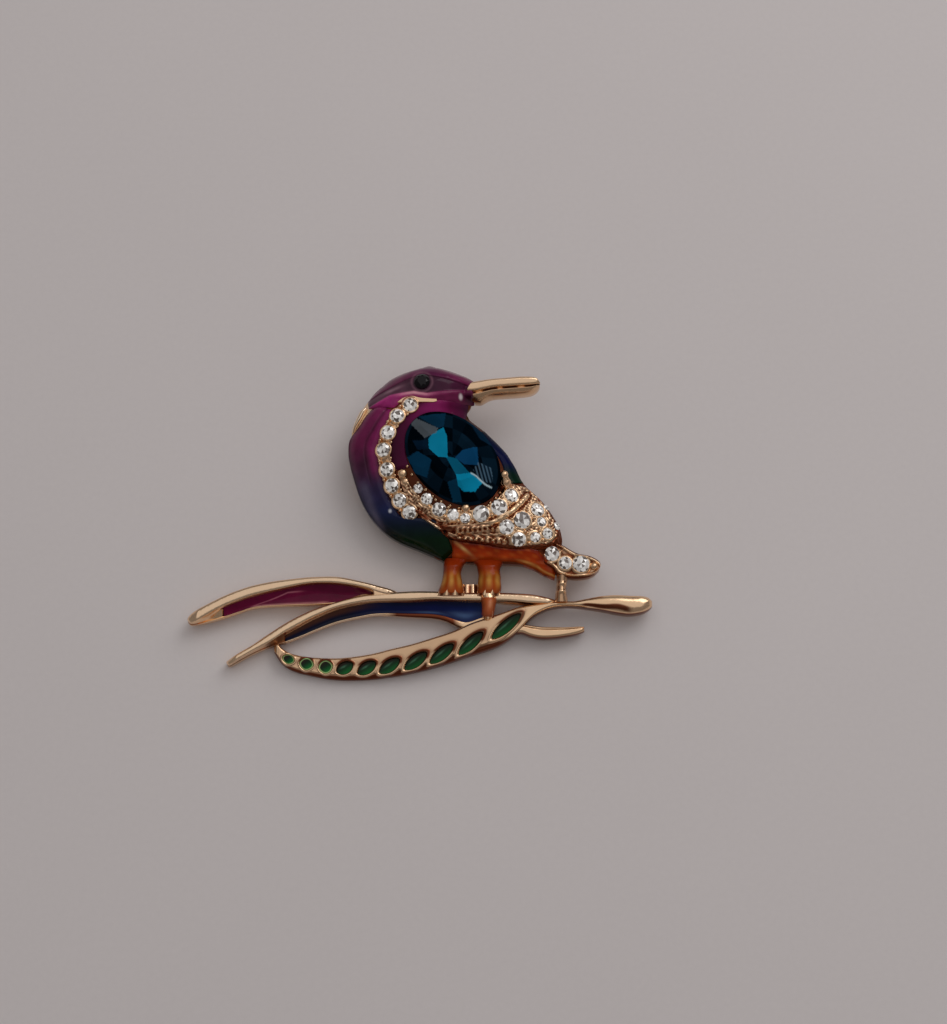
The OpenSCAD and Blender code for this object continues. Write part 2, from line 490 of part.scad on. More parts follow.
// Seats of all the small stones
module seats() {
    for (k = [0 : len(COLLAR) - 1]) collar_spots(k) seat(collar_d * COLLAR[k][2]);
    for (k = [0 : len(ARC) - 1]) arc_spots(k) seat(wing_d * ARC[k][2]);
    for (k = [0 : len(FIELD) - 1]) field_spots(k) seat(wing_d * FIELD[k][2]);
    for (k = [0 : len(TAIL_STONES) - 1]) tail_spots(k) seat(tail_d * TAIL_STONES[k][2]);
    eye_spot() seat(eye_d);
    nape_spot() seat(nape_d);
}

// Big oval stone: table, ring of crown facets, girdle and pavilion
function oval(l, w, sides) = [for (k = [0 : sides - 1]) let (a = 360 * (k + 0.5) / sides)
    [l / 2 * cos(a), w / 2 * sin(a)]];
module gem_place() { translate([each at(GEM[0], GEM[1]), gem_z]) rotate(GEM_TURN) children(); }
module gem(grow) {
    gem_place() hull() {
        translate([0, 0, gem_crown + grow - FLAT]) linear_extrude(FLAT)
            polygon(oval(GEM_TABLE * gem_l, GEM_TABLE * gem_w, GEM_SIDES / 2));
        translate([0, 0, -(gem_girdle + grow) / 2]) linear_extrude(gem_girdle + grow)
            polygon(oval(gem_l + 2 * grow, gem_w + 2 * grow, GEM_SIDES));
        translate([0, 0, -gem_depth - grow]) linear_extrude(FLAT)
            polygon(oval(POINT_SHARE * gem_l, POINT_SHARE * gem_w, STONE_SIDES));
    }
}

// Green cell outline, a pointed oval turned to its slant
module cell_shape(row, grow) {
    l = cell_len * row[2] + 2 * grow;
    w = cell_wide * row[3] + 2 * grow;
    rotate(row[4]) polygon([for (k = [0 : CELL_SIDES - 1]) let (a = 360 * k / CELL_SIDES)
        [l / 2 * cos(a), w / 2 * sin(a) * pow(abs(sin(a)), 0.35)]]);
}
branch_high = [for (row = BRANCH) [row[0], row[3]]];
function cell_top(row) = plate_t * lookup(row[0], branch_high);

// Upper surfaces of the enamel fills
function body_skin(rows, columns) = raised(strip(rows, columns), function (p) body_z(p));
module fill(grid) { sheet(grid, moved(grid, -enamel_t)); }
module recess(grid, out) {
    wide = padded(grid, out, fit_gap, fit_gap);
    sheet(moved(wide, CUT_UP), moved(wide, -enamel_t - fit_gap));
}
head_grid = body_skin(HEAD, 4);
breast_grid = body_skin(BREAST, 3);
throat_grid = raised(strip_by_gem(THROAT, 2), function (p) body_z(p));
flank_grid = raised(strip_by_gem(FLANK, 2), function (p) body_z(p));
belly_grid = body_skin(BELLY, 2);

// Lowest edge of the spray and the turn that lays the brooch on it and on the pin's feet
low_y = min([for (row = BRANCH) at(0, row[1])[Y]]);
pin_y = at(0, 64)[Y];
reach = pin_y - low_y;
drop = pin_h - foot_r;
rest_turn = atan2(drop, reach) + asin(foot_r / norm([reach, drop]));
crown_y = at(0, 100)[Y];
rest_mid = (crown_y - low_y) * cos(rest_turn) / 2;
module at_rest() {
    translate([0, -rest_mid, 0]) rotate([rest_turn, 0, 0]) translate([0, -low_y, 0]) children();
}

module body_shell() {
    top = [for (row = BODY) [
        for (q = DOME_COLUMNS) let (p = at(row[1] + (row[2] - row[1]) * (q + 1) / 2, row[0]))
            [each p, dome_z(row[3], abs(q))]]];
    difference() {
        sheet(top, [for (line = top) [for (p = line) [p[X], p[Y], 0]]]);
        hollow();
    }
}

// Hollow back, inside an edge of wall_t all round
module hollow() {
    grid = [for (i = HOLLOW_ROWS) let (
        row = BODY[i],
        a = at(row[1], row[0]) + [1.3 * wall_t, 0],
        b = at(row[2], row[0]) - [1.3 * wall_t, 0])
        [for (q = HOLLOW_COLUMNS) a + (b - a) * (q + 1) / 2]];
    sheet(raised(grid, function (p) max(body_z(p) - wall_t, 0.2)), raised(grid, function (p) -1));
}

module wing() {
    grid = body_skin(WING, WING_COLUMNS);
    sheet(moved(grid, wing_lift), moved(grid, -root_t));
}

module collar_band() {
    half = collar_d / 2 + fit_gap + 1.45 * collet_w;
    rows = [[53.6, 87.6, 0.1], [50.8, 87.0, 0.3], each COLLAR, [49.2, 50.2, 0.5]];
    centres = [for (row = rows) at(row[0], row[1])];
    grid = [for (i = [0 : len(rows) - 1]) let (
        way = flat_way(centres[max(i - 1, 0)], centres[min(i + 1, len(rows) - 1)]),
        side = [way[Y], -way[X]] * half * rows[i][2])
        [centres[i] - side, centres[i], centres[i] + side]];
    skin = raised(grid, function (p) body_z(p));
    sheet(moved(skin, collar_lift), moved(skin, -root_t));
}

module tail() {
    grid = strip(TAIL, 3);
    rows = [0 : len(TAIL) - 1];
    sheet([for (i = rows) [for (p = grid[i]) [p[X], p[Y], tail_rise * TAIL[i][4]]]],
        [for (line = grid) [for (p = line) [p[X], p[Y], 0]]]);
}

module stone_cup() {
    translate([0, 0, cup_w - gem_z]) gem_place() linear_extrude(gem_z - gem_girdle / 2 - cup_w)
        polygon(oval(gem_l + 2 * cup_w, gem_w + 2 * cup_w, GEM_SIDES));
}

// Ball-ended claw, its foot and the two beads round the big stone
module claws() {
    ball = at(CLAW[X], CLAW[Y]);
    foot = at(CLAW_FOOT[X], CLAW_FOOT[Y]);
    left = at(LEFT_BEAD[X], LEFT_BEAD[Y]);
    below = at(LOW_BEAD[X], LOW_BEAD[Y]);
    tall = gem_z / 2;
    translate([each ball, gem_z - tall]) cylinder(r = 0.83 * claw_r, h = tall + claw_r / 2, $fn = 10);
    translate([each ball, gem_z + claw_r / 2]) sphere(r = claw_r, $fn = 10);
    translate([each foot, gem_z - tall]) cylinder(r1 = 1.5 * claw_r, r2 = claw_r, h = tall, $fn = 10);
    translate([each left, body_z(left) + claw_r / 2]) sphere(r = claw_r, $fn = 10);
    translate([each below, body_z(below) + wing_lift]) sphere(r = 0.75 * claw_r, $fn = 8);
}

// Two rows of small beads along the wing's lower feathers
module bead_rows() {
    for (line = [[58.6, 45.7, 66.4, 46.4], [59.4, 43.5, 67.0, 43.1]], k = [0 : 6]) {
        p = at(line[0] + (line[2] - line[0]) * k / 6, line[1] + (line[3] - line[1]) * k / 6);
        translate([each p, body_z(p) + wing_lift + 0.4 * bead_r]) sphere(r = bead_r, $fn = 5);
    }
}

module spray() {
    long_bar(BRANCH, plate_t, FLAT_BAR);
    long_bar(TWIG, plate_t, FLAT_BAR);
    leaf(RED_LEAF);
    leaf(BLUE_LEAF);
}

module legs() {
    for (rows = [LEG_LEFT, LEG_RIGHT, TOE, POST, FOOT_WEB]) leg(rows);
}

// Crescent at the nape with the cup of its stone
module nape_band() {
    loft([for (row = NAPE_BAND) ring(at(row[0], row[2]), at(row[1], row[2]), row[3] * plate_t, FLAT_BAR)]);
    nape_spot() collet(nape_d);
}

module bird() {
    difference() {
        union() {
            body_shell();
            wing();
            collar_band();
            tail();
            long_bar(BEAK, beak_rise, BEAK_BAR);
            stone_cup();
            claws();
            ridge(RIDGE_ARC);
            ridge(RIDGE_CURL);
            bead_rows();
            eye_spot() collet(eye_d);
        }
        recess(head_grid, OPEN_OUT);
        recess(breast_grid, OPEN_OUT);
        recess(throat_grid, fit_gap);
        recess(flank_grid, OPEN_OUT);
        recess(belly_grid, fit_gap);
    }
}

module casting() {
    color(gold) at_rest() difference() {
        union() {
            bird();
            nape_band();
            legs();
            spray();
        }
        for (row = CELLS) translate([each at(row[0], row[1]), cell_top(row) - cell_depth])
            linear_extrude(CUT_UP) cell_shape(row, fit_gap);
        seats();
        gem(fit_gap);
    }
}

// Bar, hinge block, stem and catch on the back, one piece
module pin_back() {
    left = at(lookup(share_y([0, pin_y]), body_left), 0)[X] + bar_in;
    right = at(lookup(share_y([0, pin_y]), body_right), 0)[X] - bar_in;
    hinge_x = left + bar_in;
    catch_x = right - bar_in - catch_l;
    foot_z = foot_r - pin_h;
    color(gold) at_rest() translate([0, pin_y, 0]) {
        translate([left, -bar_w / 2, -fit_gap - bar_t]) cube([right - left, bar_w, bar_t]);
        difference() {
            union() {
                for (x = [hinge_x, catch_x]) {
                    translate([x, -foot_r, foot_z])
                        cube([catch_l, 2 * foot_r, -foot_z - fit_gap - bar_t / 2]);
                    translate([x, 0, foot_z]) rotate([0, 90, 0]) cylinder(r = foot_r, h = catch_l, $fn = 32);
                }
            }
            translate([catch_x - bar_in, 0, foot_z]) rotate([0, 90, 0])
                cylinder(d = 1.6 * stem_d, h = catch_l + 2 * bar_in, $fn = 32);
            translate([catch_x - bar_in, 0, foot_z])
                cube([catch_l + 2 * bar_in, 2 * foot_r, 0.6 * stem_d]);
        }
        translate([hinge_x + catch_l / 4, 0, foot_z]) rotate([0, 90, 0])
            cylinder(d = stem_d, h = catch_x - hinge_x + catch_l / 2, $fn = 24);
    }
}

module enamel_head() {
    color("purple") at_rest() difference() {
        fill(head_grid);
        eye_spot() cylinder(r = eye_d / 2 + 2 * fit_gap + collet_w, h = 2 * eye_d, center = true, $fn = 10);
    }
}
module enamel_breast() { color("indigo") at_rest() fill(breast_grid); }
module enamel_throat() { color("purple") at_rest() fill(throat_grid); }
module enamel_flank() { color("navy") at_rest() fill(flank_grid); }
module enamel_belly() { color("orangered") at_rest() fill(belly_grid); }
module enamel_leg_left() { color("orangered") at_rest() leg_fill(LEG_LEFT); }
module enamel_leg_right() { color("orangered") at_rest() leg_fill(LEG_RIGHT); }
module enamel_toe() { color("orangered") at_rest() leg_fill(TOE); }
module enamel_leaf_red() { color("darkred") at_rest() leaf_fill(RED_LEAF); }
module enamel_leaf_blue() { color("midnightblue") at_rest() leaf_fill(BLUE_LEAF); }
module enamel_cell(k) {
    row = CELLS[k - 1];
    color("darkgreen") at_rest() translate([each at(row[0], row[1]), cell_top(row) - cell_depth + fit_gap])
        linear_extrude(cell_depth - fit_gap - cell_dip) cell_shape(row, 0);
}
module body_stone() { color("teal") at_rest() gem(0); }
module eye_stone() { color("black") at_rest() eye_spot() chaton(eye_d); }
module nape_stone() { color(clear_stone) at_rest() nape_spot() chaton(nape_d); }
module collar_stone(k) {
    color(clear_stone) at_rest() collar_spots(k - 1) chaton(collar_d * COLLAR[k - 1][2]);
}
module wing_stone(k) {
    arc = len(ARC);
    color(clear_stone) at_rest() {
        if (k <= arc) arc_spots(k - 1) chaton(wing_d * ARC[k - 1][2]);
        else field_spots(k - arc - 1) chaton(wing_d * FIELD[k - arc - 1][2]);
    }
}
module tail_stone(k) {
    color(clear_stone) at_rest() tail_spots(k - 1) chaton(tail_d * TAIL_STONES[k - 1][2]);
}

casting();
pin_back();
enamel_head();
enamel_breast();
enamel_throat();
enamel_flank();
enamel_belly();
enamel_leg_left();
enamel_leg_right();
enamel_toe();
enamel_leaf_red();
enamel_leaf_blue();
for (k = [1 : 10]) enamel_cell(k);
body_stone();
eye_stone();
nape_stone();
for (k = [1 : 8]) collar_stone(k);
for (k = [1 : 17]) wing_stone(k);
for (k = [1 : 3]) tail_stone(k);
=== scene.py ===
# %% [markdown]
# # A bird brooch in cast metal, enamel and glass stones
#
# The real thing is a small gold-plated casting of a bird on a spray of three branches. Enamel fills
# its low places and glued stones fill its seats. The packed model already gives the right solids,
# so this lesson loads it as a fixed frame and then replaces its plain surfaces with finer ones.

import math

import bpy
import numpy as np
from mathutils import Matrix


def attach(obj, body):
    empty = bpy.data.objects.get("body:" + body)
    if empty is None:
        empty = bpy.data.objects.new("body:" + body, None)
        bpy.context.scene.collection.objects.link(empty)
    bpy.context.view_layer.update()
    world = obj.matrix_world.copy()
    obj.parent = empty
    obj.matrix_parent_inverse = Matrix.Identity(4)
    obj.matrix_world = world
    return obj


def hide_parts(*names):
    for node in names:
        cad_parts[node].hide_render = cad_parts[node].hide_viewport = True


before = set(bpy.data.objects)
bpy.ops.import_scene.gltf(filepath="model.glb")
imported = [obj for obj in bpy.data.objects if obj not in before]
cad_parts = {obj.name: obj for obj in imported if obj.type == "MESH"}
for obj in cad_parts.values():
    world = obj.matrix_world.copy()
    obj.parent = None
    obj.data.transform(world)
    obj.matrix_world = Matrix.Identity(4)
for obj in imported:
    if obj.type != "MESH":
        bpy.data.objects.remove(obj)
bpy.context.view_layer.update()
print("nodes in the frame:", len(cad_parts))

# %% [markdown]
# ## The drawing of the brooch
#
# Everything is drawn in the plane of the brooch, in millimetres, with its back at height 0 and its
# front up. Places are shares in hundredths of the brooch's width and height, the same numbers that
# its solids are made from, so each new surface lies where the packed solid lies.

# %% Named sizes
# All in mm: the whole, the heights of its parts over the back, the big stone and the pin.
WIDTH = 57.5
HEIGHT = 39.8
PLATE = 2.0
BODY_RISE = 4.6
EDGE = 1.2
WALL = 1.3
WING_LIFT = 0.5
COLLAR_LIFT = 0.35
BEAK_RISE = 3.2
TAIL_RISE = 2.9
LEG_RISE = 3.0
GEM_LONG = 13.7
GEM_WIDE = 9.7
GEM_Z = 4.5
GEM_CROWN = 1.7
GEM_DEPTH = 3.0
PIN_H = 3.0
FOOT_R = 1.1
print("size in the plane, mm:", WIDTH, "x", HEIGHT)

# %% Tables of the bird
# Outline of the bird: y, left x, right x, height as a share of BODY_RISE.
BODY = [
    [33.0, 77.2, 79.0, 0.28], [34.6, 75.3, 79.4, 0.30], [36.2, 73.0, 79.8, 0.33],
    [37.6, 55.8, 80.1, 0.40], [40.5, 51.4, 80.4, 0.54], [43.9, 45.8, 80.8, 0.70],
    [46.1, 43.3, 80.6, 0.78], [48.7, 41.2, 80.1, 0.85], [55.7, 37.8, 76.9, 0.95],
    [63.4, 35.8, 71.9, 1.00], [71.6, 34.5, 68.9, 1.00], [78.7, 35.1, 64.3, 0.98],
    [83.2, 36.2, 60.6, 0.93], [85.1, 36.9, 60.1, 0.91], [87.4, 37.8, 61.0, 0.90],
    [93.5, 41.5, 61.9, 0.86], [95.7, 43.2, 61.2, 0.79], [98.0, 46.3, 57.6, 0.64],
    [100, 50.8, 53.0, 0.36]]
DOME_POWER = 2.6
# Strips of enamel: x and y of the outer edge, x and y of the inner edge.
HEAD = [
    [38.2, 87.9, 38.4, 86.9], [39.9, 91.2, 40.1, 86.7], [41.7, 93.6, 42.3, 86.5],
    [43.8, 96.0, 44.3, 86.2], [46.0, 97.6, 46.0, 88.2], [48.4, 98.9, 48.0, 89.2],
    [50.8, 99.8, 50.2, 88.2], [53.0, 99.8, 52.5, 88.6], [55.6, 98.9, 55.2, 88.6],
    [58.2, 97.6, 57.8, 88.2], [60.2, 96.3, 59.9, 88.2], [62.0, 94.9, 61.8, 88.8]]
BREAST = [
    [41.0, 87.0, 43.6, 84.8], [38.5, 83.9, 42.3, 80.9], [36.9, 80.5, 40.9, 77.2],
    [34.8, 76.5, 40.0, 73.8], [34.5, 72.0, 39.8, 70.8], [35.0, 67.6, 40.4, 65.4],
    [35.8, 63.4, 41.4, 60.2], [36.8, 58.9, 42.9, 55.6], [38.1, 54.7, 45.0, 51.4],
    [40.1, 50.5, 47.6, 50.3], [42.8, 46.6, 50.4, 49.6], [45.8, 43.8, 52.8, 47.6],
    [49.6, 41.5, 54.0, 44.1], [53.0, 39.5, 54.8, 41.1], [55.3, 37.9, 55.7, 38.4]]
THROAT = [
    [45.1, 65.1, 46.9, 65.6], [44.6, 68.2, 46.2, 68.6], [44.3, 71.4, 45.9, 71.9],
    [44.5, 74.8, 45.9, 75.0], [45.3, 78.2, 46.4, 77.9], [46.6, 81.2, 47.6, 80.7],
    [48.4, 83.9, 49.0, 82.8], [50.8, 85.7, 51.2, 84.4], [53.8, 86.5, 53.8, 84.9],
    [56.6, 86.7, 56.2, 84.4], [58.8, 86.5, 58.2, 83.4], [60.3, 85.8, 59.8, 82.2]]
FLANK = [
    [63.6, 79.4, 62.6, 78.6], [65.2, 77.0, 64.3, 75.7], [66.8, 74.7, 66.0, 73.1],
    [68.4, 72.2, 67.4, 70.7], [69.6, 69.6, 68.3, 68.0], [70.6, 67.1, 68.7, 65.3],
    [71.6, 63.9, 69.6, 63.2], [72.3, 62.4, 70.7, 61.9]]
BELLY = [
    [57.0, 42.6, 57.0, 38.4], [58.9, 42.0, 59.1, 38.3], [61.3, 41.5, 61.5, 38.3],
    [64.1, 41.1, 64.3, 38.3], [67.3, 40.3, 67.6, 38.2], [70.6, 39.9, 70.4, 38.1],
    [73.4, 40.2, 73.0, 37.1], [75.4, 39.6, 75.2, 35.8], [77.0, 37.2, 76.8, 34.4],
    [79.4, 35.2, 79.2, 33.0]]
WING = [
    [46.9, 63.0, 45.4, 63.2], [48.1, 59.9, 46.2, 59.2], [49.8, 57.0, 47.8, 54.0],
    [52.3, 54.4, 50.2, 50.4], [55.0, 53.0, 53.6, 46.8], [57.9, 52.7, 56.8, 43.6],
    [60.8, 52.7, 60.8, 42.5], [63.6, 53.8, 64.6, 41.7], [65.8, 55.6, 69.0, 40.8],
    [67.4, 58.4, 74.2, 40.8], [68.0, 60.0, 79.6, 42.2], [68.4, 61.0, 80.2, 47.8],
    [68.9, 61.6, 77.0, 55.6], [69.4, 61.4, 72.9, 61.4]]
TAIL = [
    [77.0, 46.0, 75.8, 40.6], [80.6, 42.6, 76.8, 37.0], [82.1, 41.1, 78.6, 35.2],
    [84.1, 39.6, 80.0, 33.0], [86.5, 38.9, 83.0, 32.1], [88.0, 37.9, 85.6, 32.2],
    [88.8, 36.9, 87.5, 33.1], [89.0, 36.0, 88.7, 34.7]]
# Bars: x, lower y, upper y, share of the bar's own height.
BEAK = [
    [60.2, 88.2, 94.6, 1], [62.1, 88.2, 95.0, 1], [65.6, 89.8, 95.6, 0.98],
    [68.7, 90.3, 96.0, 0.96], [71.7, 90.6, 96.4, 0.94], [74.1, 91.1, 96.4, 0.92],
    [75.4, 92.1, 96.0, 0.88], [76.1, 93.4, 94.6, 0.8]]
# Legs, toe, post and web: y, left x, right x, share of LEG_RISE.
LEG_LEFT = [
    [37.9, 55.4, 60.7, 0.9], [36.4, 55.2, 59.4, 0.9], [34.2, 55.1, 58.9, 0.94],
    [32.6, 55.0, 58.9, 1], [31.0, 54.8, 59.1, 0.96], [28.9, 54.3, 59.4, 0.94],
    [26.4, 53.6, 59.8, 0.9]]
LEG_RIGHT = [
    [37.9, 61.0, 68.6, 0.9], [36.4, 62.2, 67.6, 0.9], [34.2, 62.6, 67.2, 0.94],
    [32.6, 62.7, 67.4, 1], [31.0, 62.6, 67.4, 0.96], [28.9, 62.5, 67.5, 0.94],
    [26.4, 62.2, 67.1, 0.9]]
TOE = [
    [27.0, 62.8, 66.6, 0.92], [24.7, 63.3, 66.5, 1.04], [23.2, 63.4, 66.3, 1.08],
    [20.5, 63.4, 65.9, 1.05], [18.9, 64.1, 65.3, 0.84]]
POST = [
    [34.6, 79.6, 82.2, 0.86], [30.4, 79.5, 81.7, 0.8], [27.9, 79.3, 81.6, 0.84],
    [24.6, 79.0, 82.0, 0.8]]
FOOT_WEB = [[30.4, 58.6, 63.0, 0.4], [28.4, 58.6, 63.0, 0.48], [26.4, 58.6, 63.0, 0.55]]
NAPE_BAND = [
    [86.3, 37.2, 38.7, 0.67], [85.2, 36.6, 38.2, 0.73], [83.2, 35.9, 37.6, 0.7],
    [80.6, 35.2, 36.3, 0.6], [78.6, 34.9, 35.6, 0.47]]
print("rows in the bird's outline:", len(BODY))

# %% Tables of the spray
BRANCH = [
    [18.8, 9.0, 11.6, 0.6], [19.5, 7.4, 11.9, 0.65], [20.3, 5.8, 10.6, 0.7],
    [21.7, 4.2, 9.2, 0.7], [23.8, 2.9, 8.2, 0.7], [26.4, 2.0, 7.6, 0.7],
    [29.9, 1.0, 7.3, 0.7], [33.8, 0.5, 7.4, 0.7], [39.3, 0.7, 8.5, 0.7],
    [43.8, 1.5, 10.1, 0.75], [48.2, 2.6, 11.6, 0.8], [52.8, 4.2, 13.6, 0.85],
    [57.1, 6.1, 15.6, 0.9], [61.0, 8.0, 18.1, 0.95], [64.5, 9.6, 19.8, 1],
    [67.8, 11.6, 21.4, 1], [71.0, 15.1, 23.0, 1], [73.7, 19.1, 23.8, 1],
    [75.6, 21.1, 24.2, 1], [78.4, 22.7, 24.8, 1], [81.3, 23.2, 25.0, 1],
    [83.4, 23.1, 25.0, 1.05], [86.3, 22.6, 25.8, 1.15], [89.1, 22.0, 26.5, 1.25],
    [92.2, 21.1, 26.8, 1.3], [95.0, 20.6, 26.6, 1.3], [97.6, 21.1, 26.5, 1.25],
    [99.1, 22.0, 26.1, 1.1], [100, 23.2, 25.1, 0.9]]
TWIG = [
    [70.6, 14.8, 18.2, 0.85], [72.1, 14.9, 17.9, 0.85], [73.9, 13.9, 17.5, 0.85],
    [76.1, 13.3, 17.1, 0.85], [78.9, 13.4, 17.0, 0.85], [81.7, 14.0, 17.0, 0.8],
    [84.1, 14.8, 17.2, 0.75], [85.4, 15.6, 17.1, 0.7]]
# Leaves: x, lower edge, enamel low, enamel high, rim low, rim high.
LEAF_UPPER = [
    [0, 18.7, 18.9, 19.1, 19.3, 19.8], [0.7, 17.7, 17.9, 18.1, 18.4, 20.9],
    [2.1, 17.8, 18.0, 18.3, 18.8, 22.2], [4.5, 18.5, 19.0, 19.9, 20.9, 24.1],
    [7.8, 19.8, 20.5, 22.8, 23.4, 26.5], [11.0, 21.4, 22.0, 24.7, 25.3, 28.4],
    [14.3, 22.9, 23.5, 26.3, 26.9, 29.9], [18.8, 23.5, 24.1, 27.9, 28.4, 31.2],
    [24.3, 23.8, 24.4, 29.6, 30.1, 32.2], [28.2, 24.0, 24.6, 30.2, 30.7, 32.6],
    [32.7, 24.6, 25.3, 30.0, 30.5, 32.5], [38.1, 26.0, 27.6, 28.8, 29.2, 30.9],
    [41.0, 26.4, 26.9, 27.3, 27.7, 29.8], [43.4, 26.2, 26.4, 26.6, 26.9, 28.9],
    [45.2, 25.8, 26.0, 26.3, 26.6, 28.0]]
LEAF_MIDDLE = [
    [8.6, 5.4, 5.5, 5.6, 5.8, 6.3], [9.3, 4.8, 4.9, 5.0, 5.2, 6.9],
    [11.4, 6.3, 6.5, 6.7, 6.9, 8.8], [14.3, 8.6, 8.8, 9.0, 9.3, 11.3],
    [18.0, 10.8, 11.1, 11.6, 12.2, 15.0], [21.1, 12.0, 12.7, 14.2, 15.2, 17.9],
    [24.3, 13.7, 14.4, 16.8, 17.8, 20.4], [27.7, 15.8, 16.5, 19.4, 20.3, 22.6],
    [32.1, 18.2, 18.9, 22.1, 22.9, 24.7], [37.1, 19.9, 20.6, 23.8, 24.5, 26.6],
    [41.2, 20.7, 21.5, 24.5, 25.1, 27.3], [47.8, 20.2, 21.4, 24.5, 25.2, 28.0],
    [52.7, 19.8, 21.2, 24.9, 25.6, 28.0], [55.6, 18.9, 20.5, 24.8, 25.4, 27.8],
    [59.7, 16.4, 18.7, 24.6, 25.3, 27.6], [62.7, 17.6, 19.8, 24.5, 25.2, 27.6],
    [64.4, 19.0, 21.0, 24.6, 25.2, 27.6], [65.6, 24.2, 24.5, 24.8, 25.1, 27.6],
    [69.1, 24.2, 24.5, 24.7, 25.0, 27.5], [73.9, 23.7, 23.9, 24.1, 24.4, 27.1],
    [77.1, 23.6, 23.8, 24.0, 24.2, 26.2], [79.8, 23.5, 23.7, 23.9, 24.1, 25.2]]
# Where the enamel of each leaf begins and ends, as x.
UPPER_BED = (7.7, 39.6)
MIDDLE_BED = (21.1, 64.2)
# Cells: x, y, length share of CELL_LONG, width share of CELL_WIDE, slant in degrees.
CELLS = [
    [21.9, 6.9, 0.32, 0.78, -20], [25.8, 5.4, 0.36, 1.00, -10], [29.9, 4.5, 0.36, 1.08, 10],
    [34.0, 4.2, 0.46, 1.02, 28], [38.7, 4.2, 0.54, 1.00, 33], [43.6, 4.8, 0.62, 1.00, 36],
    [49.2, 6.3, 0.72, 0.98, 38], [54.8, 8.5, 0.78, 0.95, 40], [61.0, 11.7, 0.86, 0.92, 43],
    [68.6, 17.0, 1.00, 0.95, 41]]
CELL_LONG = 0.087 * WIDTH
CELL_WIDE = 0.027 * WIDTH
# Stones: x, y, diameter in mm.
COLLAR = [
    [47.9, 85.8, 1.65], [45.1, 82.3, 1.65], [43.1, 77.0, 1.65], [42.1, 71.6, 1.65],
    [42.9, 65.4, 1.65], [44.0, 60.3, 1.65], [45.7, 55.7, 1.65], [47.8, 51.9, 1.65]]
ARC = [
    [49.7, 59.0, 1.10], [51.6, 55.8, 1.36], [54.2, 52.5, 1.64], [57.2, 50.9, 1.36],
    [59.8, 49.8, 1.16], [63.2, 51.2, 1.90], [67.1, 53.3, 1.90], [69.8, 57.4, 1.70]]
FIELD = [
    [72.1, 49.6, 2.00], [68.7, 47.2, 1.76], [75.4, 53.3, 1.68], [71.3, 43.6, 1.68],
    [74.9, 44.4, 1.20], [77.6, 45.8, 1.28], [76.3, 49.4, 1.16], [79.6, 48.6, 1.00],
    [77.3, 54.6, 0.84]]
TAIL_STONES = [[78.5, 39.3, 1.71], [81.3, 36.4, 1.48], [84.7, 36.1, 1.90]]
EYE = (50.4, 93.6)
NAPE = (36.7, 83.2)
GEM = (57.1, 68.7)
GEM_TURN = math.radians(-45)
RIDGE_ARC = [
    [49.4, 51.9], [53.8, 47.4], [59.6, 47.2], [63.0, 47.6], [66.2, 48.9], [69.6, 52.0],
    [71.9, 55.3], [73.2, 57.9]]
RIDGE_CURL = [[48.9, 50.5], [50.7, 49.2], [52.9, 47.7], [54.6, 45.8], [56.0, 43.0]]
print("cells:", len(CELLS), "small stones:", len(COLLAR + ARC + FIELD + TAIL_STONES))

# %% [markdown]
# ## From the drawing to the table top
#
# The brooch lies on its pin and on the lowest branch, so its plane leans by about 7 degrees. One
# function turns any array of drawn points, in millimetres, into resting points in metres. Working
# flat and laying the result down last keeps every other formula simple.

# %% Places and the rest position
def at(x, y):
    """Place in mm for shares in hundredths: (share / 100 - 1/2) times the size, each way."""
    return np.stack([(np.asarray(x, float) / 100 - 0.5) * WIDTH,
                     (np.asarray(y, float) / 100 - 0.5) * HEIGHT], -1)


def shares_of(p):
    """The way back: x and y in hundredths of the brooch's size, for an array of places in mm."""
    return p[..., 0] / WIDTH * 100 + 50, p[..., 1] / HEIGHT * 100 + 50


LOW_Y = at(0, 0.5)[1]
REACH = at(0, 64)[1] - LOW_Y
DROP = PIN_H - FOOT_R
LEAN = math.atan2(DROP, REACH) + math.asin(FOOT_R / math.hypot(REACH, DROP))
MIDDLE = (HEIGHT / 2 - LOW_Y) * math.cos(LEAN) / 2


def lay(points):
    """Turns y and z about the lowest edge by LEAN, centres the result and changes mm to metres."""
    x, y, z = np.moveaxis(np.asarray(points, float), -1, 0)
    y = y - LOW_Y
    return 0.001 * np.stack([x, y * math.cos(LEAN) - z * math.sin(LEAN) - MIDDLE,
                             y * math.sin(LEAN) + z * math.cos(LEAN)], -1)


print("lean of the plane, degrees:", round(math.degrees(LEAN), 2))

# %% [markdown]
# ## Curves and soft steps
#
# A cast bird has no straight runs, so a table of a few rows is turned into a smooth
# curve before it is used. Cubic stretches are enough for that, and they pass through every row,
# which keeps the tables easy to read against the brooch. Soft steps and humps then say where on a
# surface something begins and ends, in height as well as in colour.

# %% Curves through a table
def flowing(table, steps=12):
    """Rows on a smooth curve through the table's rows. Each stretch is a cubic in t whose slope at
    a row is half of the step between the two rows beside it."""
    rows = np.asarray(table, float)
    last = len(rows) - 1
    place = np.linspace(0, last, last * steps + 1)
    i = np.minimum(place.astype(int), last - 1)
    t = (place - i)[:, None]
    a, b, c, d = rows[np.maximum(i - 1, 0)], rows[i], rows[i + 1], rows[np.minimum(i + 2, last)]
    return (b + (c - a) * t / 2 + (2 * a - 5 * b + 4 * c - d) * t**2 / 2
            + (3 * b - a - 3 * c + d) * t**3 / 2)


